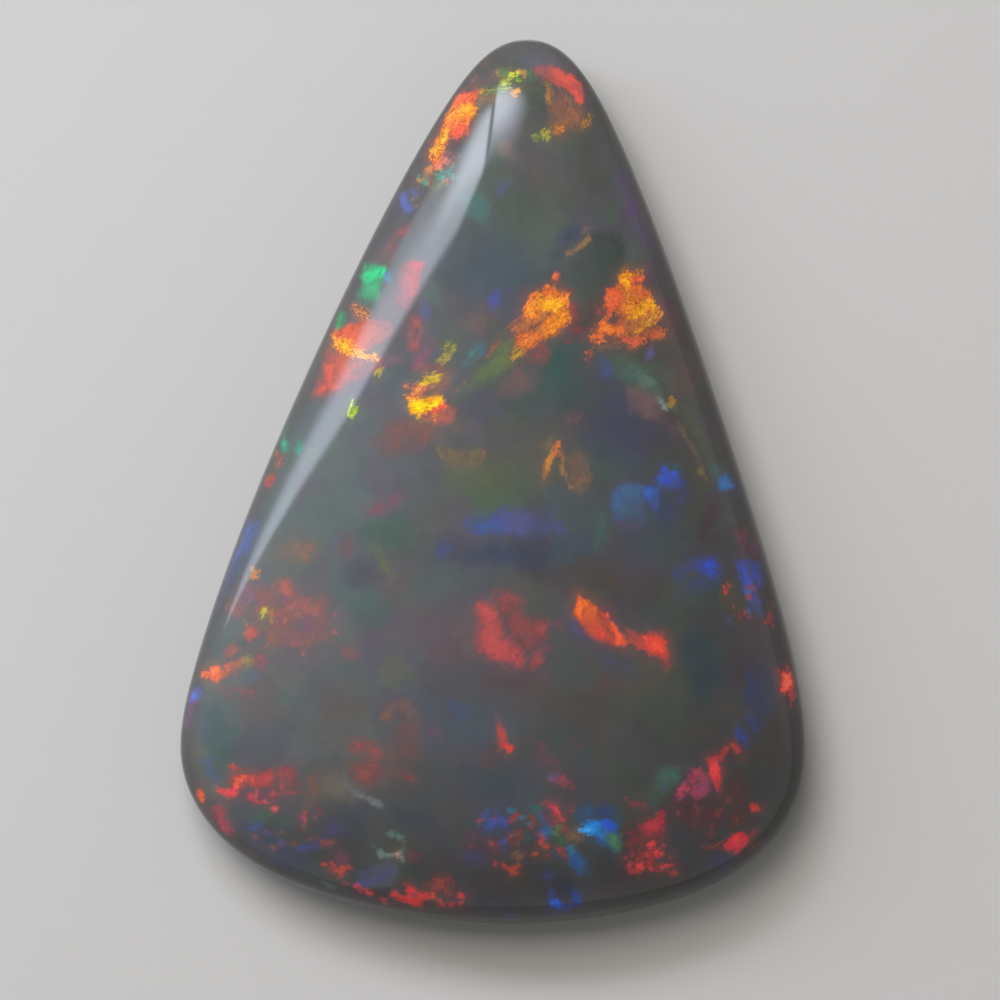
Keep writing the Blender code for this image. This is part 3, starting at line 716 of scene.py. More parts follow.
    ("magenta over gold disc", "film", 70, 0, "985868 7C5668", 0.8,
     -212,423, -174,429, -156,399, -165,370, -186,346, -215,323, -233,335, -215,370),
    ("red over gold disc", "film", 30, 160, "B05A4A 8E5450", 0.85,
     -221,335, -186,341, -154,341, -145,317, -180,323, -215,317, -236,299),
    ("orange line of diagonal", "petal", 55, None, "B06C44 946444", 0.85,
     23,423, 29,411, 2,376, -21,352, -27,358, -6,388),
    ("orange line low on diagonal", "ember", 50, 230, "BC6A48 9A6648", 0.85,
     -89,296, -74,299, -62,291, -71,276, -92,267, -112,249, -124,249, -109,270, -92,285),
    ("yellow speck over disc", "foil", 40, None, "CEB44A A0904A", 0.9,
     -165,349, -154,364, -136,376, -121,370, -133,355, -154,344),
    ("crescent left end", "petal", -65, None, "927252 74684E", 0.75,
     -162,102, -154,105, -145,82, -133,61, -139,52, -154,70),
    ("crescent right end", "petal", 70, None, "A86C4A 84644C", 0.8,
     -48,55, -42,76, -30,94, -21,88, -27,70, -36,52),
    ("brown prong", "film", 60, None, "8C6C50 766A52", 0.7,
     144,102, 155,111, 164,129, 173,135, 176,120, 164,96, 155,73, 144,79),
    ("bright edge of orange leaf", "petal", 80, None, "B08446 967448", 0.85,
     199,58, 208,64, 211,35, 220,8, 232,-15, 223,-18, 208,5, 199,32),
    ("dim red between lobes", "haze", 30, 30, "75605E 6E5E60", 0.5,
     -80,482, -39,499, 8,488, -4,452, -51,435),
    ("teal tick by diagonal", "haze", 70, None, "4E7E78 50746E", 0.8,
     -77,382, -56,394, -48,370, -56,346, -74,352),
    ("blue tick by diagonal", "haze", 70, None, "4A7086 506E7A", 0.75, -48,379, -33,394, -27,379, -36,358),
    ("violet above yellow speck", "haze", 60, 200, "7A5E84 6A5C78", 0.7,
     -195,388, -168,405, -154,388, -159,364, -186,355),
    ("pink tick left", "haze", -60, None, "8C5460 78565E", 0.8, 226,188, 235,191, 244,170, 238,161),
    ("coral by the window light", "film", 60, None, "846066 786266", 0.6,
     -742,-295, -709,-283, -680,-295, -680,-324, -709,-354, -733,-359, -756,-383, -774,-365, -751,-330),
    ("brown over comet", "film", 20, None, "86645E 74625C", 0.65,
     -801,-506, -774,-486, -745,-480, -742,-498, -768,-512, -789,-527),
    ("dim between lobes", "film", 60, None, "8A4C4A 74484A", 0.9,
     14,-348, 49,-342, 96,-383, 138,-406, 158,-448, 132,-489, 102,-501, 61,-465, 29,-412),
    ("plum tick by lobes", "film", 60, None, "80505A 6E4E56", 0.7, 182,-406, 202,-401, 205,-424, 191,-436),
    ("violet by orange flash", "glow", -50, None, "5A507C 504C68", 0.8,
     223,-401, 241,-401, 258,-430, 285,-454, 273,-468, 244,-454, 226,-430),
    ("red fringe of diagonal", "ember", -52, 140, "904454 6E4450", 0.8,
     141,-945, 161,-959, 185,-989, 205,-995, 214,-1018, 196,-1024, 167,-1006, 149,-977),
    ("teal head of slips", "film", -60, None, "3E7674 406868", 0.85,
     111,-945, 132,-939, 146,-959, 138,-974, 117,-965),
    ("blue heart of slips", "film", -50, None, "3E6C98 3E5C84", 0.95,
     129,-1012, 141,-998, 167,-1004, 179,-1021, 167,-1039, 146,-1042, 132,-1030),
    ("violet dash", "film", -40, None, "5C52AC 50508C", 0.9, 170,-1004, 185,-995, 199,-1006, 188,-1018),
    ("navy above fan", "glow", 20, None, "304C88 344870", 0.85,
     279,-983, 291,-959, 320,-948, 349,-959, 367,-989, 332,-983),
    ("cyan slip", "film", -70, None, "388CAC 387494", 0.9,
     214,-1062, 229,-1062, 238,-1086, 232,-1106, 217,-1095),
    ("ring", "film", 0, None, "343848 34364A", 0.8,
     173,-1171, 202,-1159, 232,-1177, 238,-1206, 220,-1230, 196,-1230, 179,-1206),
    ("red above patch", "film", 45, None, "904044 744044", 0.7, 667,-845, 682,-851, 685,-874, 670,-880),
    ("maple shade", "glow", 70, 180, "703A3E 5A3A3C", 0.8,
     373,-1006, 408,-1001, 432,-1024, 426,-1071, 432,-1101, 396,-1095, 376,-1059),
    ("maple foot middle", "ember", 0, None, "C8443E 94403E", 0.95,
     408,-1115, 423,-1104, 441,-1106, 455,-1101, 479,-1104, 476,-1118, 455,-1124, 432,-1121, 417,-1127),
    ("red speck under maple", "petal", -50, None, "D8524C A84640", 0.9,
     514,-1139, 529,-1139, 538,-1151, 523,-1156),
    ("rust low right", "film", 84, None, "6C3C32 5A3C38", 0.65,
     673,-1001, 691,-977, 744,-965, 773,-983, 749,-1018, 702,-1030),
    ("wing tail", "ember", 25, 200, "B04044 804040", 0.9,
     599,-1095, 620,-1074, 641,-1056, 667,-1048, 691,-1042, 685,-1059, 652,-1065, 626,-1083),
    ("wing tip", "ember", 15, 0, "A03C3A 703834", 0.85,
     738,-1030, 758,-1021, 785,-1018, 773,-1033, 749,-1048),
    ("red specks low right", "petal", -10, None, "D84A48 B04244", 1,
     -139,-1230, -121,-1227, -109,-1236, -121,-1245, -136,-1242),
    ("pale sliver", "petal", -56, None, "8CA094 74887C", 0.8,
     470,267, 485,267, 496,241, 508,208, 494,214, 476,241),
    ("olive fringe of speck", "film", -62, 300, "6E8044 5C6C48", 0.8,
     520,229, 538,223, 549,194, 544,176, 526,199),
    ("gold knot of thread", "petal", -50, None, "86703E 6E6446", 0.85,
     599,35, 611,41, 620,20, 632,2, 620,5, 605,17),
    ("swirl lines", "petal", -42, 320, "86605A 6E5658", 0.55,
     402,264, 455,235, 508,188, 544,141, 526,144, 479,182, 432,223),
    ("plum hem of pane", "film", 2, None, "645078 5C4E70", 0.7, 361,-115, 408,-112, 420,-133, 367,-136),
    ("green tip of vivid", "film", 20, None, "387088 3C6478", 0.75, 511,46, 535,49, 541,29, 520,23),
    ("plum edge right", "glow", 60, None, "5C3450 503848", 0.7,
     744,-165, 773,-159, 785,-212, 761,-230, 741,-206),
    ("violet arc low left", "glow", 20, None, "504A84 4C4870", 0.75,
     -559,-1077, -539,-1056, -509,-1042, -480,-1018, -462,-1001, -456,-1018, -480,-1042, -515,-1065,
     -545,-1083),
    ("red arc low left", "film", -10, None, "9C5250 845052", 0.8,
     -524,-1048, -504,-1039, -480,-1042, -462,-1059, -480,-1065, -509,-1059),
    ("orange red low left", "ember", 20, None, "C8503E A04848", 0.95,
     -501,-1130, -486,-1112, -471,-1121, -454,-1133, -436,-1118, -418,-1106, -418,-1130, -433,-1148,
     -427,-1174, -451,-1156, -480,-1151),
    ("ragged red low right", "ember", 10, None, "C8403C 94383A", 0.9,
     -348,-1215, -330,-1218, -315,-1221, -318,-1236, -336,-1230),
    ("pale line of feather", "petal", -38, None, "5E706C 52605E", 0.75,
     -539,-1142, -521,-1145, -492,-1165, -462,-1192, -480,-1189, -515,-1165),
    ("maroon patch", "film", 15, None, "7C5854 6C5858", 0.75,
     -359,120, -321,161, -262,194, -204,188, -162,158, -183,108, -251,85, -315,79),
    ("loop haze", "film", -10, None, "80684E 6E644E", 0.75,
     -156,105, -121,94, -80,85, -42,102, -21,88, -39,52, -80,35, -127,41, -154,73),
    ("red sliver c", "petal", -55, None, "E04C48 B44444", 0.95,
     188,-1071, 199,-1068, 211,-1086, 214,-1104, 202,-1098, 191,-1083),
    ("red sliver d", "petal", -50, None, "BC4848 904448", 0.9, -1,-1059, 14,-1056, 17,-1074, 8,-1083),
    ("red sliver i", "petal", -62, None, "D04C4A 984848", 0.9,
     135,-1048, 146,-1048, 155,-1068, 152,-1080, 141,-1068),
    ("red sliver f2", "petal", 0, None, "BC5040 94483E", 0.85, 23,-1115, 38,-1112, 44,-1124, 29,-1130),
    ("violet dash low", "film", -60, None, "6A528A 58507A", 0.85, 17,-1056, 29,-1054, 38,-1071, 29,-1080),
    ("green dot low", "film", -70, None, "3E7458 406050", 0.8, 191,-1036, 205,-1039, 205,-1062, 194,-1059),
    ("purple along the upper right", "glow", -65, None, "5C4272 56486A", 0.55,
     355,929, 379,917, 408,852, 438,770, 461,694, 438,694, 402,764, 373,841),
)

# Small bright pieces over the flashes, written in the same way
SPARKS = (
    ("gold heart at tip", "foil", 35, None, "FCB040 F08A34", 0.95,
     -51,1108, -68,1111, -92,1108, -115,1094, -130,1073, -136,1055, -115,1055, -92,1052, -68,1064,
     -54,1082),
    ("gold thread at tip", "foil", 70, None, "F0B43C DC8E34", 0.95,
     -136,1046, -148,1035, -162,1005, -177,976, -177,946, -162,944, -151,976, -142,1002, -130,1023),
    ("yellow in crest", "foil", 0, None, "DCCC44 B8B43E", 0.95,
     23,1176, 41,1179, 55,1170, 46,1158, 29,1158, 20,1164),
    ("orange below crest", "foil", 20, None, "E8A440 D0903C", 0.9, 55,1146, 70,1149, 76,1138, 58,1132),
    ("curtain hem middle", "foil", 20, None, "F09434 C87838", 1,
     185,1035, 196,1044, 208,1038, 199,1026, 185,1023),
    ("curtain hem right", "foil", 60, None, "D08C3A 98703C", 0.95,
     255,1041, 264,1061, 279,1076, 285,1067, 276,1046, 261,1035),
    ("curtain hem left", "foil", 60, None, "B0A444 8A8A44", 0.9,
     146,1020, 158,1029, 167,1014, 164,996, 152,1002),
    ("curtain streak", "petal", 88, None, "BC8440 8E6E48", 0.85,
     155,1170, 167,1170, 170,1135, 164,1108, 155,1111, 155,1141),
    ("teal below band", "haze", 15, None, "4AA494 4E8A7C", 0.9,
     -174,899, -154,908, -130,914, -121,899, -145,882, -168,876),
    ("green below band", "haze", 20, None, "6AA070 5A8068", 0.6, -174,894, -151,888, -151,867, -171,870),
    ("ochre dot", "ember", -50, None, "988250 88785A", 0.8,
     -236,832, -224,835, -209,817, -215,808, -230,820),
    ("violet by flank", "petal", -65, None, "6068AC 5A649C", 0.85,
     -280,841, -268,855, -259,841, -251,817, -239,794, -256,788, -271,811),
    ("yellow ridge", "foil", -22, None, "FBBE30 F08A34", 1,
     -471,429, -445,426, -415,405, -380,379, -333,364, -356,349, -401,361, -442,379, -468,396),
    ("yellow above disc", "foil", 15, None, "D0AE3A B89A3C", 0.95,
     -204,305, -180,317, -156,314, -151,299, -168,288, -192,279, -206,288),
    ("disc rays", "foil", 12, None, "FFE01E FCC41C", 0.95,
     -236,226, -215,235, -180,235, -156,238, -168,223, -192,208, -212,202, -230,208),
    ("yellow heart left", "foil", 42, None, "FCC024 F49C28", 0.95,
     155,538, 185,526, 208,535, 217,523, 202,502, 176,488, 158,494, 141,508, 126,529, 138,544),
    ("green in gold left", "foil", 42, None, "B4A232 C89230", 0.8, 117,526, 132,529, 135,511, 120,505),
    ("gold low left", "foil", 25, None, "E88438 C86034", 0.85,
     67,429, 96,438, 132,435, 149,417, 120,399, 91,388, 67,396),
    ("yellow heart right", "foil", 35, None, "FCBA14 F49C20", 0.95,
     435,529, 455,538, 473,526, 476,508, 455,496, 432,488, 414,476, 394,479, 396,499, 417,511),
    ("yellow top right", "foil", 30, None, "FAB020 F08C28", 0.95,
     367,599, 385,614, 408,608, 408,585, 391,567, 373,567, 367,582),
    ("coral of gold right", "ember", 58, None, "E8683E D85A3A", 0.9,
     346,561, 361,561, 379,546, 379,523, 361,499, 338,482, 323,482, 317,499, 326,517, 338,541),
    ("hem of gold right", "ember", 5, None, "E8704A D05C42", 0.85,
     379,423, 414,414, 449,426, 479,432, 473,420, 432,411, 408,402, 379,411),
    ("edge thread of leaf", "petal", 40, None, "A07C52 8A6C50", 0.85,
     214,667, 229,673, 244,685, 264,702, 279,717, 282,708, 264,691, 246,676, 232,664),
    ("bright left lobe", "film", 60, None, "CC585A BC5452", 0.8,
     -42,-365, -27,-354, -12,-365, -4,-389, -15,-401, -33,-383),
    ("orange edge of flash", "petal", 70, None, "FF8038 F06830", 0.95,
     244,-359, 249,-333, 258,-348, 261,-371, 255,-395, 246,-383),
    ("hot end of red flash", "petal", -20, None, "FC5E4A F2503E", 0.9,
     438,-456, 455,-445, 479,-448, 496,-468, 499,-492, 479,-492, 455,-480),
    ("hot edge left", "petal", -52, None, "F86A40 EC5C3C", 0.95,
     320,-380, 329,-380, 341,-401, 355,-424, 373,-445, 394,-465, 385,-480, 361,-474, 344,-465, 361,-454,
     344,-430, 332,-406),
    ("bright coral left", "film", 60, None, "AC685C 98625E", 0.9,
     -630,-304, -618,-289, -595,-286, -580,-301, -583,-321, -595,-339, -615,-336, -630,-324),
    ("bright coral right", "film", -20, None, "B86C5C A0645C", 0.9,
     -556,-354, -536,-348, -515,-362, -518,-380, -542,-383, -559,-374),
    ("coral by rim", "film", 20, None, "9E625E 8E6062", 0.8,
     -774,-368, -751,-354, -721,-359, -715,-380, -745,-395, -768,-389),
    ("yellow spot", "foil", 60, None, "CCC448 B0A84C", 1,
     -683,-389, -677,-374, -665,-371, -659,-386, -668,-401, -680,-401),
    ("comet head", "petal", 28, None, "F48C5C E87248", 0.9,
     -839,-562, -827,-548, -806,-539, -792,-551, -798,-568, -804,-586, -812,-580, -815,-565, -830,-568),
    ("comet tail tip", "film", 20, None, "A89A4E 92884E", 0.85, -727,-518, -712,-515, -704,-536, -718,-545),
    ("wall hot corner", "petal", 2, None, "F87848 EC5C48", 0.95,
     -756,-904, -756,-871, -748,-862, -721,-859, -704,-865, -704,-877, -727,-874, -745,-880, -748,-901),
    ("keep bright", "petal", 88, None, "DC5650 BC4C4E", 0.9,
     -624,-830, -615,-830, -612,-865, -612,-915, -621,-915, -624,-877),
    ("lower left hot", "petal", 20, None, "EC585C D84C50", 0.95,
     -809,-895, -786,-898, -768,-901, -751,-889, -745,-901, -756,-921, -777,-927, -792,-912, -806,-906),
    ("dark seam low", "petal", -20, None, "48342E 543832", 0.85,
     -280,-1189, -265,-1198, -254,-1204, -259,-1215, -271,-1206),
    ("pink in bracket", "petal", 0, None, "EC9A88 C08C80", 0.9,
     -286,-1086, -277,-1077, -268,-1083, -274,-1095, -283,-1095),
    ("royal in fan", "petal", -30, None, "3A5AE0 3458C0", 0.95,
     314,-992, 332,-986, 355,-1001, 358,-1021, 338,-1021, 320,-1006),
    ("pale cyan in fan", "ember", -30, None, "5CB8F4 3A98E4", 0.9,
     258,-1015, 270,-1006, 285,-1015, 291,-1030, 273,-1024),
    ("green edge of fan", "film", -60, None, "5A8A4C 4C7C5C", 0.95,
     329,-1036, 346,-1021, 364,-1030, 364,-1065, 358,-1080, 341,-1062),
    ("purple lower patch", "film", 35, None, "984A6C 944A60", 0.9,
     596,-880, 614,-868, 635,-877, 635,-904, 617,-915, 599,-915),
    ("hot maple specks", "petal", 60, None, "C8444C B43E48", 0.8,
     438,-1006, 455,-989, 479,-986, 491,-1001, 479,-1024, 455,-1024),
    ("hot maple low", "ember", -60, None, "F0504C D04444", 0.9,
     446,-1056, 461,-1048, 476,-1065, 488,-1089, 479,-1095, 461,-1080),
    ("hot wing", "film", 25, None, "FF4C58 F03A48", 0.85,
     688,-1059, 708,-1042, 732,-1033, 738,-1054, 714,-1074, 694,-1074),
    ("ring highlight", "petal", -20, None, "3468F0 2E5CDC", 0.95,
     170,-1233, 179,-1224, 194,-1230, 199,-1248, 185,-1251),
    ("ring tail", "film", 80, None, "4A5290 404878", 0.8, 152,-1142, 164,-1136, 173,-1148, 164,-1159),
    ("violet pink in band", "glow", 0, None, "665A94 5C5C8C", 0.8,
     32,-106, 67,-95, 102,-104, 108,-130, 79,-145, 44,-136),
    ("blue in band", "glow", 0, None, "42609A 465C8A", 0.85,
     -68,-124, -39,-112, -4,-112, 20,-130, -15,-145, -56,-145),
    ("blue end of band", "haze", 70, None, "50508C 4C5484", 0.8,
     149,-104, 167,-101, 182,-124, 185,-142, 161,-142),
    ("hot right speck", "ember", 60, None, "FF7458 FF5034", 0.9,
     849,-571, 861,-565, 867,-586, 858,-598, 849,-589),
    ("hot red beside patch", "petal", 80, None, "FC5450 F0484A", 0.9,
     632,-821, 646,-812, 655,-836, 646,-848, 635,-842),
    ("pink in pink haze", "film", 25, None, "845460 765462", 0.8,
     -380,-77, -333,-59, -268,-42, -280,-77, -333,-101, -374,-104),
    ("pale scratch", "petal", 50, None, "6E726E 5E605E", 0.5,
     526,-645, 538,-633, 546,-621, 549,-624, 538,-642, 529,-651),
    ("coral of band", "ember", 20, None, "F46850 E05A48", 0.95,
     -121,1052, -98,1049, -83,1041, -86,1020, -109,1011, -127,1017),
    ("coral top of band", "ember", 40, None, "F47050 E8603E", 0.9,
     -51,1149, -74,1138, -104,1123, -115,1108, -98,1102, -74,1117, -54,1129, -39,1144),
    ("pink foot of band", "haze", 60, None, "D88878 B87A70", 0.85,
     -159,941, -139,952, -124,944, -139,923, -156,920),
    ("yellow start of ridge", "foil", 12, None, "D0B844 C89040", 0.85,
     -45,1149, -21,1152, -15,1141, -39,1135),
    ("lime spark", "foil", -10, None, "DCE048 C0C83C", 0.9, 49,1194, 70,1194, 76,1182, 55,1182),
    ("curtain hem far left", "foil", 0, None, "90983C 70804A", 0.7, 111,1008, 129,1011, 132,999, 117,996),
    ("left lobe of gold left", "foil", 55, None, "F89C34 E87C34", 0.95,
     105,535, 126,526, 138,502, 132,479, 114,467, 96,479, 88,496, 96,517),
    ("coral edge of gold left", "ember", 50, None, "F4864E EC7440", 0.85,
     94,499, 102,520, 117,535, 126,532, 114,517, 102,499),
    ("top of gold left", "foil", 60, None, "F48A34 E06C34", 0.9,
     146,552, 158,567, 173,564, 179,546, 164,538, 146,535),
    ("corner of gold left", "ember", 60, None, "FC9A48 F07C38", 0.9,
     199,541, 217,538, 223,520, 211,511, 199,526),
    ("right lobe of gold left", "foil", 35, None, "F49A2C E07C2C", 0.95,
     161,482, 185,491, 214,494, 223,476, 208,452, 185,435, 164,423, 149,435, 144,461),
    ("green foot of gold left", "foil", 42, None, "A09E40 C08438", 0.85,
     52,382, 73,388, 82,370, 64,355, 49,358),
    ("dark seam of gold left", "fibre", 48, None, "6E5048 7A5444", 0.9,
     173,499, 158,494, 135,476, 111,458, 94,441, 108,435, 132,452, 155,470),
    ("ochre slit top right", "foil", 15, None, "D8A038 C87834", 0.8, 411,611, 435,617, 432,605, 414,599),
    ("coral slit top right", "ember", 30, None, "F06A40 D85838", 0.85, 408,599, 432,599, 420,582, 405,576),
    ("orange brow right", "ember", 10, None, "F08434 DC6C34", 0.9,
     402,570, 432,567, 455,546, 464,532, 438,529, 414,544),
    ("orange low left of right", "ember", 35, None, "F08438 DC6834", 0.95,
     323,473, 338,461, 355,461, 373,479, 385,467, 379,441, 361,429, 338,429, 314,411, 294,408, 285,423,
     294,441, 308,455),
    ("rim light of gold right", "foil", 50, None, "E4A834 C88034", 0.95,
     491,496, 482,482, 461,464, 441,446, 420,435, 411,441, 432,461, 455,482, 476,499),
    ("upper thread of leaf", "petal", 10, None, "94745A 7E6656", 0.7,
     255,729, 267,741, 285,741, 279,735, 264,723),
    ("bright foot above disc", "foil", 20, None, "EEC030 D8A434", 0.95,
     -221,288, -212,296, -195,294, -180,294, -186,282, -206,276, -218,279),
    ("peach above disc", "ember", 25, None, "EE9A58 D87A50", 0.9,
     -248,276, -239,285, -221,282, -198,279, -212,264, -233,255, -245,261),
    ("orange thread over disc", "foil", 5, None, "F4A83C E07C3C", 0.95,
     -254,252, -239,249, -215,241, -233,238, -251,241),
    ("disc slit", "fibre", -60, None, "A8943A C0A034", 0.85,
     -233,220, -227,220, -215,196, -212,185, -221,188),
    ("orange wedge of disc", "ember", 28, None, "F06C3C E05C44", 0.95,
     -204,196, -180,208, -154,223, -145,217, -168,199, -192,185, -209,188),
    ("gold foot of disc", "foil", 10, None, "DCA848 C87848", 0.9,
     -204,185, -186,191, -165,188, -174,176, -192,176),
    ("bright belly of lobe", "film", 60, None, "C8585C BC5452", 0.75,
     -27,-454, -4,-448, 8,-471, -4,-495, -24,-483),
    ("purple in coral", "film", 0, None, "8C5C80 865E70", 0.75,
     -621,-324, -604,-318, -595,-336, -606,-351, -618,-342),
    ("grey hole in coral", "glow", 0, None, "5C6474 666468", 0.85,
     -586,-412, -559,-404, -548,-421, -556,-439, -580,-439),
    ("crimson in coral", "film", 10, None, "90585C 865C5C", 0.8,
     -627,-412, -604,-406, -586,-415, -601,-427, -624,-427),
    ("arc low in coral", "film", 20, None, "8E625C 80605E", 0.75,
     -580,-477, -551,-459, -509,-445, -471,-436, -471,-456, -515,-468, -556,-489),
    ("coral low left", "film", 30, None, "90665A 82625C", 0.8,
     -659,-442, -630,-433, -618,-454, -627,-480, -654,-480),
    ("coral dash", "film", 20, None, "BC625A 94605C", 0.85,
     -771,-489, -756,-480, -742,-486, -748,-498, -765,-501),
    ("blue by comet", "film", 30, None, "60709A 606C80", 0.75, -715,-559, -698,-548, -686,-562, -701,-577),
    ("orange heart of flash", "petal", -48, 330, "F08A38 E46C30", 0.9,
     258,-345, 273,-351, 294,-365, 308,-386, 291,-389, 270,-374),
    ("slits of flash", "fibre", -52, None, "8C4A38 A04C36", 0.9,
     296,-368, 311,-380, 332,-406, 349,-436, 355,-456, 338,-442, 317,-412, 302,-389),
    ("bent tail of red flash", "film", -60, None, "9A4A48 824848", 0.8,
     479,-501, 508,-501, 517,-530, 502,-548, 485,-524),
    ("violet on red diagonal", "film", -20, None, "80688C 706080", 0.8,
     167,-865, 179,-854, 191,-862, 182,-874),
    ("hot head of diagonal", "petal", -50, None, "F85464 EC4C54", 0.9,
     173,-942, 185,-948, 199,-974, 199,-986, 185,-971),
    ("bright cyan in fan", "petal", -30, None, "2E98EC 2E84D0", 0.95,
     273,-995, 285,-983, 308,-989, 317,-1009, 311,-1036, 291,-1024, 276,-1012),
    ("ring right", "petal", 70, None, "3058C4 2C4CA8", 0.9,
     229,-1198, 244,-1195, 255,-1209, 252,-1230, 238,-1227),
    ("hot maple lower left", "ember", 20, None, "D84448 B8403E", 0.85,
     426,-1083, 446,-1077, 464,-1083, 455,-1101, 435,-1104),
    ("second violet by flank", "film", 20, None, "5A66A4 586490", 0.8,
     -242,852, -227,858, -215,849, -224,835, -242,838),
    ("olive tick by flank", "film", 10, None, "828C5C 767E62", 0.7,
     -186,861, -162,876, -136,867, -156,852, -180,849),
    ("peach tick by band", "film", 60, None, "B4785A 967060", 0.8, -201,908, -189,911, -186,894, -198,894),
    ("green dot in castle", "film", 0, None, "4A6A5C 50645E", 0.8,
     -618,-986, -604,-989, -606,-1004, -618,-1001),
    ("blue dash low left", "film", 0, None, "485EA0 4A5680", 0.75,
     -709,-1004, -686,-1004, -680,-1012, -704,-1015),
    ("hot heart low left", "petal", 20, None, "E05A44 C85040", 0.85,
     -486,-1130, -468,-1130, -451,-1139, -436,-1133, -442,-1151, -462,-1151),
    ("hot block", "film", 0, None, "B85054 A04E50", 0.8,
     -362,-783, -345,-777, -327,-789, -333,-801, -356,-798),
    ("dark notch by egg", "petal", -10, None, "2E2C30 363238", 0.9,
     -362,-1195, -339,-1186, -309,-1183, -295,-1195, -309,-1212, -339,-1209),
    ("stem of bracket", "petal", -50, None, "5E7470 56686A", 0.6,
     -359,-1056, -351,-1059, -333,-1077, -336,-1083),
    ("curtain streaks", "fibre", 88, None, "A86C4C 8A5E4C", 0.7,
     196,1146, 229,1123, 258,1094, 264,1052, 235,1041, 205,1049),
    ("low red of flash", "film", -48, None, "F05440 DC4A3C", 0.85,
     285,-412, 314,-424, 349,-454, 373,-471, 349,-474, 308,-454),
    ("blue edge of egg", "film", 50, None, "484ABC 4C4E94", 0.9,
     -389,-1174, -380,-1156, -365,-1142, -354,-1151, -362,-1174, -377,-1186),
    ("keep foot", "petal", 0, None, "D0504C B04A4C", 0.9,
     -615,-901, -592,-901, -574,-904, -577,-912, -604,-915, -615,-912),
    ("keep dot", "film", 0, None, "C85452 B04E50", 0.85,
     -662,-859, -651,-848, -639,-856, -642,-877, -659,-877),
    ("bright coral middle", "film", -40, None, "A8645C 90605E", 0.9,
     -595,-330, -577,-324, -556,-342, -545,-362, -556,-374, -580,-356),
    ("mauve in coral", "film", 80, None, "7C5C74 745E6C", 0.75,
     -556,-401, -533,-395, -524,-418, -533,-442, -554,-442),
    ("coral tick", "film", 0, None, "A06258 8A605C", 0.8, -642,-383, -615,-380, -612,-395, -639,-398),
    ("coral tick right", "film", 0, None, "8C625C 80605E", 0.75,
     -601,-386, -571,-386, -571,-404, -598,-404),
    ("coral shoulder", "film", 20, None, "92665E 84625F", 0.8,
     -662,-324, -633,-312, -624,-330, -639,-348, -659,-345),
    ("coral by the gap", "film", 40, None, "965E60 845E60", 0.75,
     -686,-342, -671,-330, -656,-342, -665,-359, -680,-356),
    ("gold right of spot", "ember", 70, None, "AC7C4C 96744E", 0.9,
     -656,-377, -642,-380, -639,-404, -651,-421, -671,-421, -668,-404, -654,-401),
    ("rust round spot", "film", 60, None, "B06452 98625A", 0.85,
     -704,-389, -695,-371, -680,-365, -680,-383, -692,-401, -704,-406),
    ("blue dot of fan", "petal", 30, None, "3E78C4 4464A0", 0.95,
     5,-959, 14,-951, 23,-959, 20,-971, 8,-971),
    ("blue slant of fan", "petal", -35, None, "4C60AC 485698", 0.85,
     11,-983, 26,-980, 44,-1001, 44,-1015, 26,-1009),
    ("blue foot of slips", "film", -50, None, "345AAC 3A5C88", 0.9,
     223,-1098, 241,-1092, 261,-1112, 261,-1133, 241,-1127),
    ("orange heart right", "foil", 45, None, "EC902E DC762A", 0.9,
     394,538, 414,544, 435,538, 432,517, 411,502, 388,488, 376,496, 382,520),
)

# Sprinkles of tiny specks: name, middle, half length and half width in mm, turn, how many, strength, colours
SPRINKLES = (
    ("bottom reds", 0.85, -10.48, 1.29, 0.82, 0, 16, 0.7, "C84850 B84450 D85048 9C4450"),
    ("bottom blues", 0.49, -10.12, 1.00, 0.59, 0, 14, 0.6, "4A5CA0 40689C 4C5890 407C98"),
    ("bottom greens", 1.26, -10.42, 0.82, 0.59, 0, 8, 0.7, "4C8666 5C7C4C 80604C"),
    ("foot of the maple", 4.55, -11.06, 0.76, 0.35, 10, 22, 0.95, "E84A4C C03E46 D84850 AC3E42"),
    ("skirt of the maple", 4.20, -10.42, 0.41, 0.59, 0, 12, 0.7, "A04044 8A4044"),
    ("right mist", 6.26, -9.71, 0.88, 0.65, 30, 14, 0.6, "8A4442 7A4040 94504A"),
    ("under the castle", -6.68, -9.30, 0.41, 0.21, 0, 10, 0.85, "E05C64 C05058 B04850"),
    ("low left mist", -5.80, -10.18, 1.18, 0.47, 25, 14, 0.6, "80504C 6E5080 8A5A50"),
    ("coral motes", -5.92, -4.12, 1.47, 1.06, 0, 26, 0.6, "B06A60 B87060 A0646C 8C6480"),
    ("upper right rim", 7.20, -3.59, 0.35, 0.47, 0, 10, 0.85, "A84844 80485A 4A62A4"),
    ("upper left rim", -1.86, 8.82, 0.47, 0.35, 40, 12, 0.8, "C88C50 B07A58 8C9C5C 5C9C8C"),
    ("middle mist", 1.61, -8.18, 1.18, 0.53, 35, 12, 0.6, "80484E 6E4850 4C5A70"),
    ("low red line", -2.04, -12.06, 1.29, 0.18, -10, 8, 0.85, "E84840 C44040 A84444"),
)


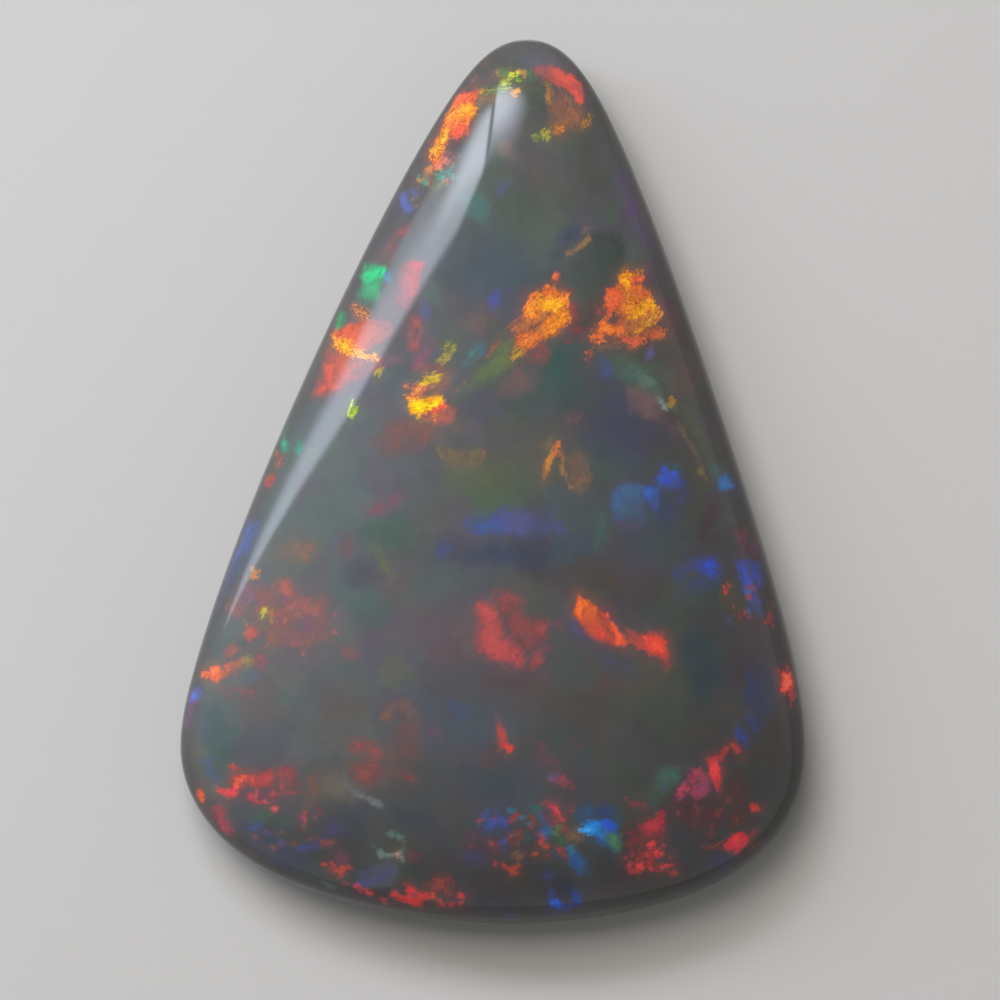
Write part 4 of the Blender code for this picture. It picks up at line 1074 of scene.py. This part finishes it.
def closed_curve(points, count):
    """Return count places on the smooth closed curve through the points."""
    knots = np.array(points)
    spans = np.sqrt(np.linalg.norm(np.roll(knots, -1, axis=0) - knots, axis=1))
    size = len(knots)
    system = np.zeros((size, size))
    pull = np.zeros((size, 2))
    for i in range(size):
        before, after = spans[i - 1], spans[i]
        step_in = (knots[i] - knots[i - 1]) / before
        step_out = (knots[(i + 1) % size] - knots[i]) / after
        system[i, i - 1] += before
        system[i, i] += 2.0 * (before + after)
        system[i, (i + 1) % size] += after
        pull[i] = 6.0 * (step_out - step_in)
    bends = np.linalg.solve(system, pull)

    starts = np.concatenate(([0.0], np.cumsum(spans)))
    along = np.arange(count) / count * starts[-1]
    span = np.searchsorted(starts, along, side="right") - 1
    following = (span + 1) % size
    width = spans[span][:, None]
    done = (along - starts[span])[:, None]
    left = width - done
    return (
        (bends[span] * left**3 + bends[following] * done**3) / (6.0 * width)
        + (knots[span] / width - bends[span] * width / 6.0) * left
        + (knots[following] / width - bends[following] * width / 6.0) * done
    )


def girdle_curve(count):
    """The girdle in metres, at equal steps, stretched to the frame's length and width, with its normals."""
    fine = closed_curve(GIRDLE_POINTS, GIRDLE_FINENESS * count)
    low, high = fine.min(axis=0), fine.max(axis=0)
    fine = (fine - (low + high) / 2.0) * np.array((WIDTH, LENGTH)) / (high - low)
    loop = np.concatenate((fine, fine[:1]))
    walked = np.concatenate(([0.0], np.cumsum(np.linalg.norm(np.diff(loop, axis=0), axis=1))))
    steps = np.arange(count) / count * walked[-1]
    places = np.stack([np.interp(steps, walked, loop[:, axis]) for axis in (0, 1)], axis=1)
    tangents = np.roll(places, -1, axis=0) - np.roll(places, 1, axis=0)
    tangents /= np.linalg.norm(tangents, axis=1)[:, None]
    return places, np.stack((-tangents[:, 1], tangents[:, 0]), axis=1)


def waves(places):
    """The harmonic waves up to WAVE_POWERS at each place."""
    around = (places[..., 0] + 1j * places[..., 1]) / (LENGTH / 2.0)
    power = np.ones(around.shape, dtype=complex)
    columns = [power.real]
    for _ in range(WAVE_POWERS):
        power = power * around
        columns.extend((power.real, power.imag))
    return np.stack(columns, axis=-1)


def film(weights, places):
    """Rise of a soap film held at the girdle and blown up a little: it shapes the dome."""
    return waves(places) @ weights - (places**2).sum(axis=-1) / 4.0


def find_crown(weights, place):
    """Climb from the place to where the film is highest, along X and Y in turn."""
    for _ in range(CROWN_CLIMBS):
        for nudge in np.eye(2) * CROWN_NUDGE:
            behind, here, ahead = film(weights, np.array((place - nudge, place, place + nudge)))
            place = place + nudge * (ahead - behind) / (2.0 * (2.0 * here - ahead - behind))
    return place


def dome_places(square, girdle, weights, crown):
    """Turn places on a square from -1 to 1 into places on the dome, in metres."""
    # The square becomes a disc, and each place on it is a share of the way from the crown to the girdle,
    # which starts at the narrow end and runs clockwise
    a, b = square[:, 0], square[:, 1]
    across = a * np.sqrt(1.0 - b**2 / 2.0)
    up = b * np.sqrt(1.0 - a**2 / 2.0)
    out = np.clip(np.hypot(across, up), 0.0, 1.0)
    ring = (1.0 - RIM_CROWDING) * out + RIM_CROWDING * np.sin(math.pi / 2.0 * out)
    turn = (0.25 - np.arctan2(up, across) / (2.0 * math.pi)) % 1.0 * len(girdle)
    first = turn.astype(int)
    part = (turn - first)[:, None]
    edge = girdle[first % len(girdle)] * (1.0 - part) + girdle[(first + 1) % len(girdle)] * part

    # Along that way, halving finds where the film has the rise of the ring
    wanted = film(weights, crown) * (1.0 - ring**2)
    near = np.zeros((len(square), 1))
    far = np.ones((len(square), 1))
    for _ in range(HALVINGS):
        middle = (near + far) / 2.0
        higher = film(weights, crown + middle * (edge - crown)) > wanted
        near = np.where(higher[:, None], middle, near)
        far = np.where(higher[:, None], far, middle)
    places = crown + near * (edge - crown)
    at_girdle = out > ON_RIM
    places[at_girdle] = edge[at_girdle]
    rise = np.where(at_girdle, 0.0, np.clip(1.0 - ring**2, 0.0, 1.0) ** DOME_POWER)
    return np.column_stack((places, GIRDLE_HEIGHT + DOME_HEIGHT * rise))


def vertex_places(mesh):
    """The places of the mesh's vertices, one row for each."""
    places = np.zeros(len(mesh.vertices) * 3)
    mesh.vertices.foreach_get("co", places)
    return places.reshape(-1, 3)


def nearest_rows(places, targets):
    """Which of the targets is nearest, for each place."""
    return np.array([np.argmin(((targets - place) ** 2).sum(axis=1)) for place in places])


def select_ring(mesh, ring):
    """Select the vertices of a ring and the edges between them, with nothing else."""
    chosen = np.zeros(len(mesh.vertices), dtype=bool)
    chosen[ring] = True
    mesh.vertices.foreach_set("select", chosen)
    ends = np.zeros(len(mesh.edges) * 2, dtype=np.int32)
    mesh.edges.foreach_get("vertices", ends)
    mesh.edges.foreach_set("select", chosen[ends.reshape(-1, 2)].all(axis=1))
    mesh.polygons.foreach_set("select", np.zeros(len(mesh.polygons), dtype=bool))


def extrude_ring(mesh, ring):
    """Extrude a ring of vertices in place, and return the new ring."""
    select_ring(mesh, ring)
    bpy.ops.object.mode_set(mode="EDIT")
    bpy.ops.mesh.extrude_edges_move()
    bpy.ops.object.mode_set(mode="OBJECT")
    picked = np.zeros(len(mesh.vertices), dtype=bool)
    mesh.vertices.foreach_get("select", picked)
    return np.flatnonzero(picked)


def roll_under(mesh, ring, rim, outward):
    """Extrude the dome's rim round the girdle to the back, and return the ring there."""
    order = None
    for count in range(1, ROLL_RINGS + 1):
        angle = ROLL_UNDER * count / ROLL_RINGS
        inset = BACK_INSET * (1.0 - math.cos(angle)) / (1.0 - math.cos(ROLL_UNDER))
        height = GIRDLE_HEIGHT * (1.0 - math.sin(angle) / math.sin(ROLL_UNDER))
        ring = extrude_ring(mesh, ring)
        places = vertex_places(mesh)
        if order is None:
            order = nearest_rows(places[ring, :2], rim)
        places[ring, :2] = rim[order] - outward[order] * inset
        places[ring, 2] = height
        mesh.vertices.foreach_set("co", places.ravel())
    return ring


def close_back(mesh, ring):
    """Fill the ring with the flat back, and turn every face outwards."""
    select_ring(mesh, ring)
    bpy.ops.object.mode_set(mode="EDIT")
    bpy.ops.mesh.edge_face_add()
    bpy.ops.mesh.select_all(action="SELECT")
    bpy.ops.mesh.normals_make_consistent(inside=False)
    bpy.ops.object.mode_set(mode="OBJECT")


def model_stone():
    """The stone as one closed mesh: a grid drawn into the dome, and its rim rolled under to the back."""
    bpy.ops.object.select_all(action="DESELECT")
    bpy.ops.mesh.primitive_grid_add(x_subdivisions=DOME_CELLS, y_subdivisions=DOME_CELLS, size=2.0)
    stone = bpy.context.object
    stone.name = stone.data.name = "polished_opal"
    mesh = stone.data
    square = vertex_places(mesh)[:, :2]
    on_rim = np.abs(square).max(axis=1) > ON_RIM

    girdle, outward = girdle_curve(4 * DOME_CELLS)
    weights = np.linalg.lstsq(waves(girdle), (girdle**2).sum(axis=1) / 4.0, rcond=None)[0]
    crown = find_crown(weights, girdle.mean(axis=0))
    places = dome_places(square, girdle, weights, crown)
    mesh.vertices.foreach_set("co", places.ravel())

    rim = places[on_rim, :2]
    back = roll_under(mesh, np.flatnonzero(on_rim), rim, outward[nearest_rows(rim, girdle)])
    close_back(mesh, back)
    bpy.ops.object.shade_smooth_by_angle(angle=SHARP_ANGLE)
    return stone, girdle


def linear(code):
    """A colour given as sRGB hex, as linear red, green and blue."""
    shares = np.array([int(code[i:i + 2], 16) / 255.0 for i in (0, 2, 4)])
    return np.where(shares <= 0.04045, shares / 12.92, ((shares + 0.055) / 1.055) ** 2.4)


def smooth_step(values, start=0.0, end=1.0):
    """Ease from 0 at start to 1 at end."""
    values = np.clip((values - start) / (end - start), 0.0, 1.0)
    return values * values * (3.0 - 2.0 * values)


def blend(under, over, share):
    """Mix two colours at each place."""
    return under * (1.0 - share) + over * share


def depth_inside(places, corners):
    """How deep each place lies inside the corners' outline, in mm, and less than zero outside it."""
    corners = np.array(corners)
    nearest = np.full(len(places), np.inf)
    inside = np.zeros(len(places), dtype=bool)
    for start, end in zip(corners, np.roll(corners, -1, axis=0)):
        side = end - start
        offset = places - start
        along = np.clip(offset @ side / (side @ side), 0.0, 1.0)
        nearest = np.minimum(nearest, np.linalg.norm(offset - along[:, None] * side, axis=1))
        if side[1] != 0.0:
            spans = (start[1] > places[:, 1]) != (end[1] > places[:, 1])
            inside ^= spans & (places[:, 0] < start[0] + side[0] * offset[:, 1] / side[1])
    return np.where(inside, nearest, -nearest)


def clouds_over(seen, cloudiness):
    """The body colour at each place: grey silica, with painted light on the left and painted shade to the
    right and low on the dome, and soft coloured clouds in it.
    """
    # Painted light and shade: the grey is lighter at the left and darker towards the right and towards the
    # low end
    across = smooth_step(seen[:, 0], *BODY_SHADE_ACROSS)[:, None]
    down = smooth_step(-seen[:, 1], *BODY_SHADE_DOWN)[:, None]
    paint = blend(linear(BODY_LIT_LEFT), linear(BODY_SHADED_RIGHT), across)
    paint = blend(paint, linear(BODY_SHADED_LOW), down)
    for x, y, long, wide, turn, code, strength in CLOUDS:
        offset = seen - np.array((x, y))
        cos, sin = math.cos(math.radians(turn)), math.sin(math.radians(turn))
        along = (offset[:, 0] * cos + offset[:, 1] * sin) / long
        across = (offset[:, 1] * cos - offset[:, 0] * sin) / wide
        cover = smooth_step((CLOUD_REACH - np.hypot(along, across) + cloudiness) / CLOUD_SOFTNESS)
        paint = paint + (linear(code) - paint) * (strength * cover)[:, None]
    return paint


def strewn_specks():
    """Rows like those of the flashes for the tiny specks of every sprinkle, strewn with a fixed seed."""
    rows = []
    for seed, (name, x, y, long, wide, turn, count, strength, colours) in enumerate(SPRINKLES):
        pick = np.random.default_rng(seed)
        tilt = math.radians(turn)
        for _ in range(count):
            along, across = pick.uniform(-1.0, 1.0, 2) * (long, wide)
            middle = np.array((x + along * math.cos(tilt) - across * math.sin(tilt),
                               y + along * math.sin(tilt) + across * math.cos(tilt)))
            lean = pick.uniform(0.0, math.pi)
            half_long = SPECK_SIZE * pick.uniform(*SPECK_LENGTHS)
            ahead = np.array((math.cos(lean), math.sin(lean))) * half_long
            aside = np.array((-math.sin(lean), math.cos(lean))) * half_long * pick.uniform(*SPECK_WIDTHS)
            corners = np.array((middle + ahead, middle + aside, middle - ahead, middle - aside))
            colour = colours.split()[pick.integers(len(colours.split()))]
            rows.append((name, "speck", math.degrees(lean), None, colour + " " + colour, strength,
                         *(corners / OUTLINE_UNIT).ravel()))
    return rows


def lay_flashes(seen, flashes):
    """The four attributes that FLASH_PARTS names, for each place: those of the flash that it lies deepest in.

    They are the first colour and the depth; the second colour and the turn of the streaks; softness,
    raggedness, wisps and strength; and creases, halo and silkiness.
    """
    best = np.full(len(seen), FAR_OUTSIDE)
    layers = [np.zeros((len(seen), 4)) for _ in FLASH_PARTS]
    for _, kind, turn, fade, colours, strength, *outline in flashes:
        corners = np.array(outline).reshape(-1, 2) * OUTLINE_UNIT
        low, high = np.min(corners, axis=0), np.max(corners, axis=0)
        close = np.flatnonzero(((seen > low - MARGIN) & (seen < high + MARGIN)).all(axis=1))
        depth = depth_inside(seen[close], corners)
        deeper = depth > best[close]
        nearer = close[deeper]
        best[nearer] = depth[deeper]
        share = np.full(len(nearer), float(strength))
        if fade is not None:
            way = np.array((math.cos(math.radians(fade)), math.sin(math.radians(fade))))
            reach = corners @ way
            share *= 1.0 - FADE * smooth_step(seen[nearer] @ way, reach.min(), reach.max())
        softness, raggedness, wisps, creases, silk = KINDS[kind]
        colour, other = colours.split()
        layers[0][nearer, :3] = linear(colour)
        layers[1][nearer] = (*linear(other), math.radians(turn))
        layers[2][nearer, :3] = (softness, raggedness, wisps)
        layers[2][nearer, 3] = share
        layers[3][nearer] = (creases, HALO, silk, 1.0)
    layers[0][:, 3] = best
    return layers


def write_colours(mesh, name, values):
    """Store four numbers for each vertex."""
    layer = mesh.attributes.new(name, "FLOAT_COLOR", "POINT")
    layer.data.foreach_set("color", np.ascontiguousarray(values, dtype=np.float32).ravel())


def fraying(place):
    """How much further a cloud reaches at the place, or how much less."""
    return CLOUD_FRAYING * noise.fractal(Vector(place) * CLOUD_TURNS, *CLOUD_FRACTAL)


def wandering(place):
    """How far the clouds are bent aside at the place, in mm."""
    wide = noise.noise_vector(Vector(place) * WIDE_TURNS) * WIDE_REACH
    fine = noise.noise_vector(Vector(place) * FINE_TURNS) * FINE_REACH
    return (wide + fine)[:2]


def paint_stone(stone, girdle):
    """Write the play of colour, and the body's painted light and shade, on the stone's vertices."""
    mesh = stone.data
    places = vertex_places(mesh) / MM
    seen = places[:, :2].copy()
    rim_depth = depth_inside(seen, girdle[::RIM_STRIDE] / MM)

    # Under the girdle the pattern goes on outwards, so that no patch is drawn out into a column
    under = places[:, 2] < GIRDLE_HEIGHT / MM - LEAST_DROP
    drop = GIRDLE_HEIGHT / MM - places[:, 2]
    outwards = seen / np.linalg.norm(seen, axis=1)[:, None]
    spread = drop + UNDER_SPREAD * np.maximum(rim_depth, 0.0)
    seen[under] += outwards[under] * spread[under][:, None]
    rim_depth = np.where(under, -drop, rim_depth)

    noise.seed_set(CLOUD_SEED)
    cloudiness = np.array([fraying(place) for place in places])
    bent = seen + np.array([wandering(place) for place in places])
    # Painted light and shade on the rim band: lighter at the upper left, much darker at the lower right
    rim_shade_share = smooth_step(seen[:, 0] - RIM_SHADE_SLANT * seen[:, 1], *RIM_SHADE_ACROSS)[:, None]
    rim_paint_and_shade = blend(linear(RIM_LIT_LEFT), linear(RIM_SHADED_RIGHT), rim_shade_share)
    rim = smooth_step(1.0 - rim_depth / RIM_BAND)[:, None] * RIM_STRENGTH
    body = np.ones((len(places), 4))
    body[:, :3] = blend(clouds_over(bent, cloudiness), rim_paint_and_shade, rim)
    body[:, 3] = rim_depth
    write_colours(mesh, "body", body)
    for name, flashes in (("flash", FLASHES), ("spark", strewn_specks() + list(SPARKS))):
        for part, values in zip(FLASH_PARTS, lay_flashes(seen, flashes)):
            write_colours(mesh, name + "_" + part, values)


def node(tree, kind, inputs, **settings):
    """Add one node and return its outputs. Settings are its properties, and inputs are values or outputs."""
    new = tree.nodes.new("ShaderNode" + kind)
    for name, value in settings.items():
        setattr(new, name, value)
    for name, value in inputs.items():
        if isinstance(value, bpy.types.NodeSocket):
            tree.links.new(value, new.inputs[name])
        else:
            new.inputs[name].default_value = value
    return new.outputs


def streaky_pattern(tree, place, turn, silk, mottle):
    """The grain of the flashes: mottling, drawn out into streaks as far as a flash is silky."""
    turned = node(tree, "VectorRotate", {"Vector": place, "Angle": turn}, rotation_type="Z_AXIS",
                  invert=True)[0]
    stretched = node(tree, "Mapping", {"Vector": turned, "Scale": STREAK_SCALE})[0]
    streaks = node(tree, "TexNoise", {"Vector": stretched, **STREAK_NOISE})["Fac"]
    pattern = node(tree, "Mix", {0: silk, 2: mottle, 3: streaks})[0]
    return node(tree, "MapRange", {"Value": pattern, **PATTERN_LEVELS}, **EASED)[0]


def flash_layer(tree, name, place, shared, below):
    """Lay the flashes of one set over the colour below: ragged edges, wisps, creases and a milky halo."""
    mottle, fine, folds, sparkle, open_rim = shared
    paint, other, look, more = (
        node(tree, "Attribute", {}, attribute_name=name + "_" + part) for part in FLASH_PARTS
    )
    softness, raggedness, wisps = node(tree, "SeparateColor", {"Color": look["Color"]})
    creases, halo, silk = node(tree, "SeparateColor", {"Color": more["Color"]})
    pattern = streaky_pattern(tree, place, other["Alpha"], silk, mottle)

    # How much of the flash shows: its edge is ragged, and where its grain is low it is thin
    unsteady = node(tree, "Math", {0: pattern, 1: fine}, operation="ADD")[0]
    unsteady = node(tree, "Math", {0: unsteady, 1: 1.0}, operation="SUBTRACT")[0]
    edge = node(tree, "Math", {0: unsteady, 1: raggedness, 2: paint["Alpha"]}, operation="MULTIPLY_ADD")[0]
    outer = node(tree, "Math", {0: softness, 1: -1.0}, operation="MULTIPLY")[0]
    inside = node(tree, "MapRange", {"Value": edge, "From Min": outer, "From Max": softness}, **EASED)[0]
    density = node(tree, "Math", {0: pattern, 1: DENSITY_OF_PATTERN}, operation="MULTIPLY")[0]
    density = node(tree, "Math", {0: fine, 1: DENSITY_OF_FINE, 2: density}, operation="MULTIPLY_ADD")[0]
    thin = node(tree, "MapRange", {"Value": density, **THIN_LEVELS}, **EASED)[0]
    thin = node(tree, "Math", {0: wisps, 1: thin}, operation="MULTIPLY")[0]
    thick = node(tree, "Math", {0: 1.0, 1: thin}, operation="SUBTRACT")[0]
    strength = node(tree, "Math", {0: look["Alpha"], 1: open_rim}, operation="MULTIPLY")[0]
    cover = node(tree, "Math", {0: inside, 1: thick}, operation="MULTIPLY")[0]
    cover = node(tree, "Math", {0: cover, 1: strength}, operation="MULTIPLY")[0]

    # Its colour, from the second at the edge to the first inside, with creases and sparkle
    tone = node(tree, "MapRange", {"Value": edge, **CORE_LEVELS}, **EASED)[0]
    tone = node(tree, "Math", {0: tone, 1: TONE_OF_DEPTH}, operation="MULTIPLY")[0]
    tone = node(tree, "Math", {0: pattern, 1: TONE_OF_PATTERN, 2: tone}, operation="MULTIPLY_ADD")[0]
    tone = node(tree, "Math", {0: fine, 1: TONE_OF_FINE, 2: tone}, operation="MULTIPLY_ADD")[0]
    tone = node(tree, "MapRange", {"Value": tone, **TONE_LEVELS}, **EASED)[0]
    colour = node(tree, "Mix", {0: tone, 6: other["Color"], 7: paint["Color"]}, data_type="RGBA")[2]
    shade = node(tree, "Math", {0: folds, 1: FOLD_SHADE, 2: sparkle}, operation="MULTIPLY_ADD")[0]
    shade = node(tree, "Math", {0: creases, 1: shade, 2: 1.0}, operation="MULTIPLY_ADD")[0]
    colour = node(tree, "VectorMath", {0: colour, "Scale": shade}, operation="SCALE")[0]

    # The milky halo under it
    mist = node(tree, "Math", {0: mottle, 1: MIDDLE_OF_NOISE}, operation="SUBTRACT")[0]
    mist = node(tree, "Math", {0: mist, 1: HALO_REACH, 2: paint["Alpha"]}, operation="MULTIPLY_ADD")[0]
    mist = node(tree, "MapRange", {"Value": mist, **HALO_LEVELS}, **EASED)[0]
    mist = node(tree, "Math", {0: mist, 1: halo}, operation="MULTIPLY")[0]
    mist = node(tree, "Math", {0: mist, 1: strength}, operation="MULTIPLY")[0]
    below = node(tree, "Mix", {0: mist, 6: below, 7: other["Color"]}, data_type="RGBA")[2]
    return node(tree, "Mix", {0: cover, 6: below, 7: colour}, data_type="RGBA")[2]


def body_colour(tree, place, body, wander):
    """The body's stored colour, with domains of slightly different hue that have bent borders, and mist."""
    bend = node(tree, "VectorMath", {0: wander["Color"], "Scale": DOMAIN_BEND}, operation="SCALE")[0]
    bent = node(tree, "VectorMath", {0: place, 1: bend}, operation="ADD")[0]
    domains = node(tree, "TexVoronoi", {"Vector": bent, **DOMAINS}, feature="SMOOTH_F1")["Color"]
    colour = node(tree, "Mix", {0: DOMAIN_STRENGTH, 6: body["Color"], 7: domains}, data_type="RGBA",
                  blend_type="SOFT_LIGHT")[2]
    mist = node(tree, "TexNoise", {"Vector": place, **MIST_NOISE})["Fac"]
    level = node(tree, "MapRange", {"Value": mist, **MIST_LEVELS})[0]
    return node(tree, "Mix", {0: 1.0, 6: colour, 7: level}, data_type="RGBA", blend_type="MULTIPLY")[2]


def polished_opal_material():
    """Precious opal, domed and polished: milky grey silica whose ordered layers flash in pure colours."""
    material = bpy.data.materials.new("precious_opal_polished")
    material.use_nodes = True
    tree = material.node_tree
    shader = tree.nodes["Principled BSDF"]
    coordinates = node(tree, "TexCoord", {})["Object"]
    place = node(tree, "Mapping", {"Vector": coordinates, "Scale": (1.0 / MM, 1.0 / MM, 1.0 / MM)})[0]
    body = node(tree, "Attribute", {}, attribute_name="body")

    wander = node(tree, "TexNoise", {"Vector": place, **MOTTLE_NOISE})
    fine = node(tree, "TexNoise", {"Vector": place, **FINE_NOISE})["Fac"]
    bends = node(tree, "TexNoise", {"Vector": place, **FOLD_NOISE})["Fac"]
    ridge = node(tree, "Math", {0: bends, 1: MIDDLE_OF_NOISE}, operation="SUBTRACT")[0]
    ridge = node(tree, "Math", {0: ridge}, operation="ABSOLUTE")[0]
    folds = node(tree, "MapRange", {"Value": ridge, **FOLD_LEVELS}, **EASED)[0]
    grains = node(tree, "TexVoronoi", {"Vector": place, "Scale": 1.0 / GRAIN_SIZE})["Color"]
    grain = node(tree, "SeparateColor", {"Color": grains})[0]
    sparkle = node(tree, "Math", {0: grain, 1: GRAIN_MIDDLE}, operation="SUBTRACT")[0]
    sparkle = node(tree, "Math", {0: sparkle, 1: SPARKLE}, operation="MULTIPLY")[0]
    open_rim = node(tree, "MapRange", {"Value": body["Alpha"], **RIM_LEVELS}, **EASED)[0]

    shared = (wander["Fac"], fine, folds, sparkle, open_rim)
    colour = body_colour(tree, place, body, wander)
    colour = flash_layer(tree, "flash", place, shared, colour)
    colour = flash_layer(tree, "spark", place, shared, colour)
    tree.links.new(colour, shader.inputs["Base Color"])

    # The back is only ground, so it is satin
    height = node(tree, "SeparateXYZ", {0: place})["Z"]
    roughness = node(tree, "MapRange", {"Value": height, **ROUGHNESS_LEVELS})[0]
    tree.links.new(roughness, shader.inputs["Roughness"])
    shader.inputs["IOR"].default_value = REFRACTIVE_INDEX
    return material


def floor_material():
    """Painted board, rolled matt: plain and pale."""
    material = bpy.data.materials.new("matt_painted_board")
    material.use_nodes = True
    shader = material.node_tree.nodes["Principled BSDF"]
    shader.inputs["Base Color"].default_value = (*linear(FLOOR_COLOUR), 1.0)
    shader.inputs["Roughness"].default_value = FLOOR_ROUGHNESS
    shader.inputs["Specular IOR Level"].default_value = FLOOR_SHINE
    return material


def lay_floor():
    """A plain board under the stone, well past the view."""
    bpy.ops.object.select_all(action="DESELECT")
    bpy.ops.mesh.primitive_plane_add(size=FLOOR_SIDE, location=(0.0, 0.0, -FLOOR_DROP))
    floor = bpy.context.object
    floor.name = "floor"
    bpy.ops.object.transform_apply(location=True, rotation=True, scale=True)
    floor.data.materials.append(floor_material())


def area_light(name, place, across, up, width, height, radiance, colour):
    """A rectangular softbox. across and up are its sides' directions, and it shines along up x across."""
    light = bpy.data.lights.new(name, "AREA")
    light.shape = "RECTANGLE"
    light.size, light.size_y = width, height
    light.energy = radiance * math.pi * width * height
    light.color = linear(colour)
    lamp = bpy.data.objects.new(name, light)
    across, up = Vector(across).normalized(), Vector(up).normalized()
    back = across.cross(up).normalized()
    turn = Matrix((across, up, back)).transposed().to_4x4()
    lamp.matrix_world = Matrix.Translation(Vector(place)) @ turn
    bpy.context.scene.collection.objects.link(lamp)
    return lamp


def window_card(name, low, high, radiance, fades):
    """A softbox with soft edges, between two corners on the plane of the window light."""
    low, high = np.array(low), np.array(high)
    across, along = (low + high) / 2.0
    place = Vector(WINDOW_PLACE) + Vector(WINDOW_ACROSS) * across * MM + Vector(WINDOW_ALONG) * along * MM
    lamp = area_light(name, place, WINDOW_ACROSS, WINDOW_ALONG, *((high - low) * MM), radiance, WINDOW_COLOUR)
    lamp.data.use_nodes = True
    tree = lamp.data.node_tree
    spot = node(tree, "NewGeometry", {})["Parametric"]
    strength = 1.0
    for a, b, off, on in fades:
        way = (*(np.array((a, b)) * (high - low)), 0.0)
        gone = node(tree, "VectorMath", {0: spot, 1: way}, operation="DOT_PRODUCT")["Value"]
        start = a * low[0] + b * low[1]
        levels = {"Value": gone, "From Min": off - start, "From Max": on - start}
        lit = node(tree, "MapRange", levels, **EASED)[0]
        strength = node(tree, "Math", {0: strength, 1: lit}, operation="MULTIPLY")[0]
    tree.links.new(strength, tree.nodes["Emission"].inputs["Strength"])


def dim_walls():
    """White walls that are brighter at the horizon than above."""
    world = bpy.data.worlds.new("studio")
    world.use_nodes = True
    tree = world.node_tree
    height = node(tree, "SeparateXYZ", {0: node(tree, "TexCoord", {})["Generated"]})["Z"]
    fall = node(tree, "MapRange", {"Value": height, **WALL_LEVELS}, **EASED)[0]
    tree.links.new(fall, tree.nodes["Background"].inputs["Strength"])
    tree.nodes["Background"].inputs["Color"].default_value = (*linear(WALL_COLOUR), 1.0)
    bpy.context.scene.world = world


def set_lights():
    """A bent window light whose mirror image runs down the left flank, a soft box above and dim walls."""
    for card in WINDOW_CARDS:
        window_card(*card)
    overhead = area_light("overhead", OVERHEAD_PLACE, OVERHEAD_ACROSS, OVERHEAD_UP,
                          OVERHEAD_SIDE, OVERHEAD_SIDE, OVERHEAD_RADIANCE, OVERHEAD_COLOUR)
    overhead.visible_glossy = False
    dim_walls()
    bpy.context.scene.view_settings.view_transform = "Standard"


def set_camera():
    """Straight above the stone, with its narrow end up, from far enough to keep the outline true."""
    data = bpy.data.cameras.new("camera")
    data.lens = CAMERA_LENS
    data.sensor_width = SENSOR
    distance = PIXELS / PIXELS_PER_MM * MM * CAMERA_LENS / SENSOR
    camera = bpy.data.objects.new("camera", data)
    camera.location = (CAMERA_PLACE[0] * MM, CAMERA_PLACE[1] * MM, GIRDLE_HEIGHT + distance)
    bpy.context.scene.collection.objects.link(camera)
    bpy.context.scene.camera = camera


set_camera()
set_lights()
lay_floor()
stone, girdle = model_stone()
paint_stone(stone, girdle)
stone.data.materials.append(polished_opal_material())
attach(stone, "root")
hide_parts("opal")
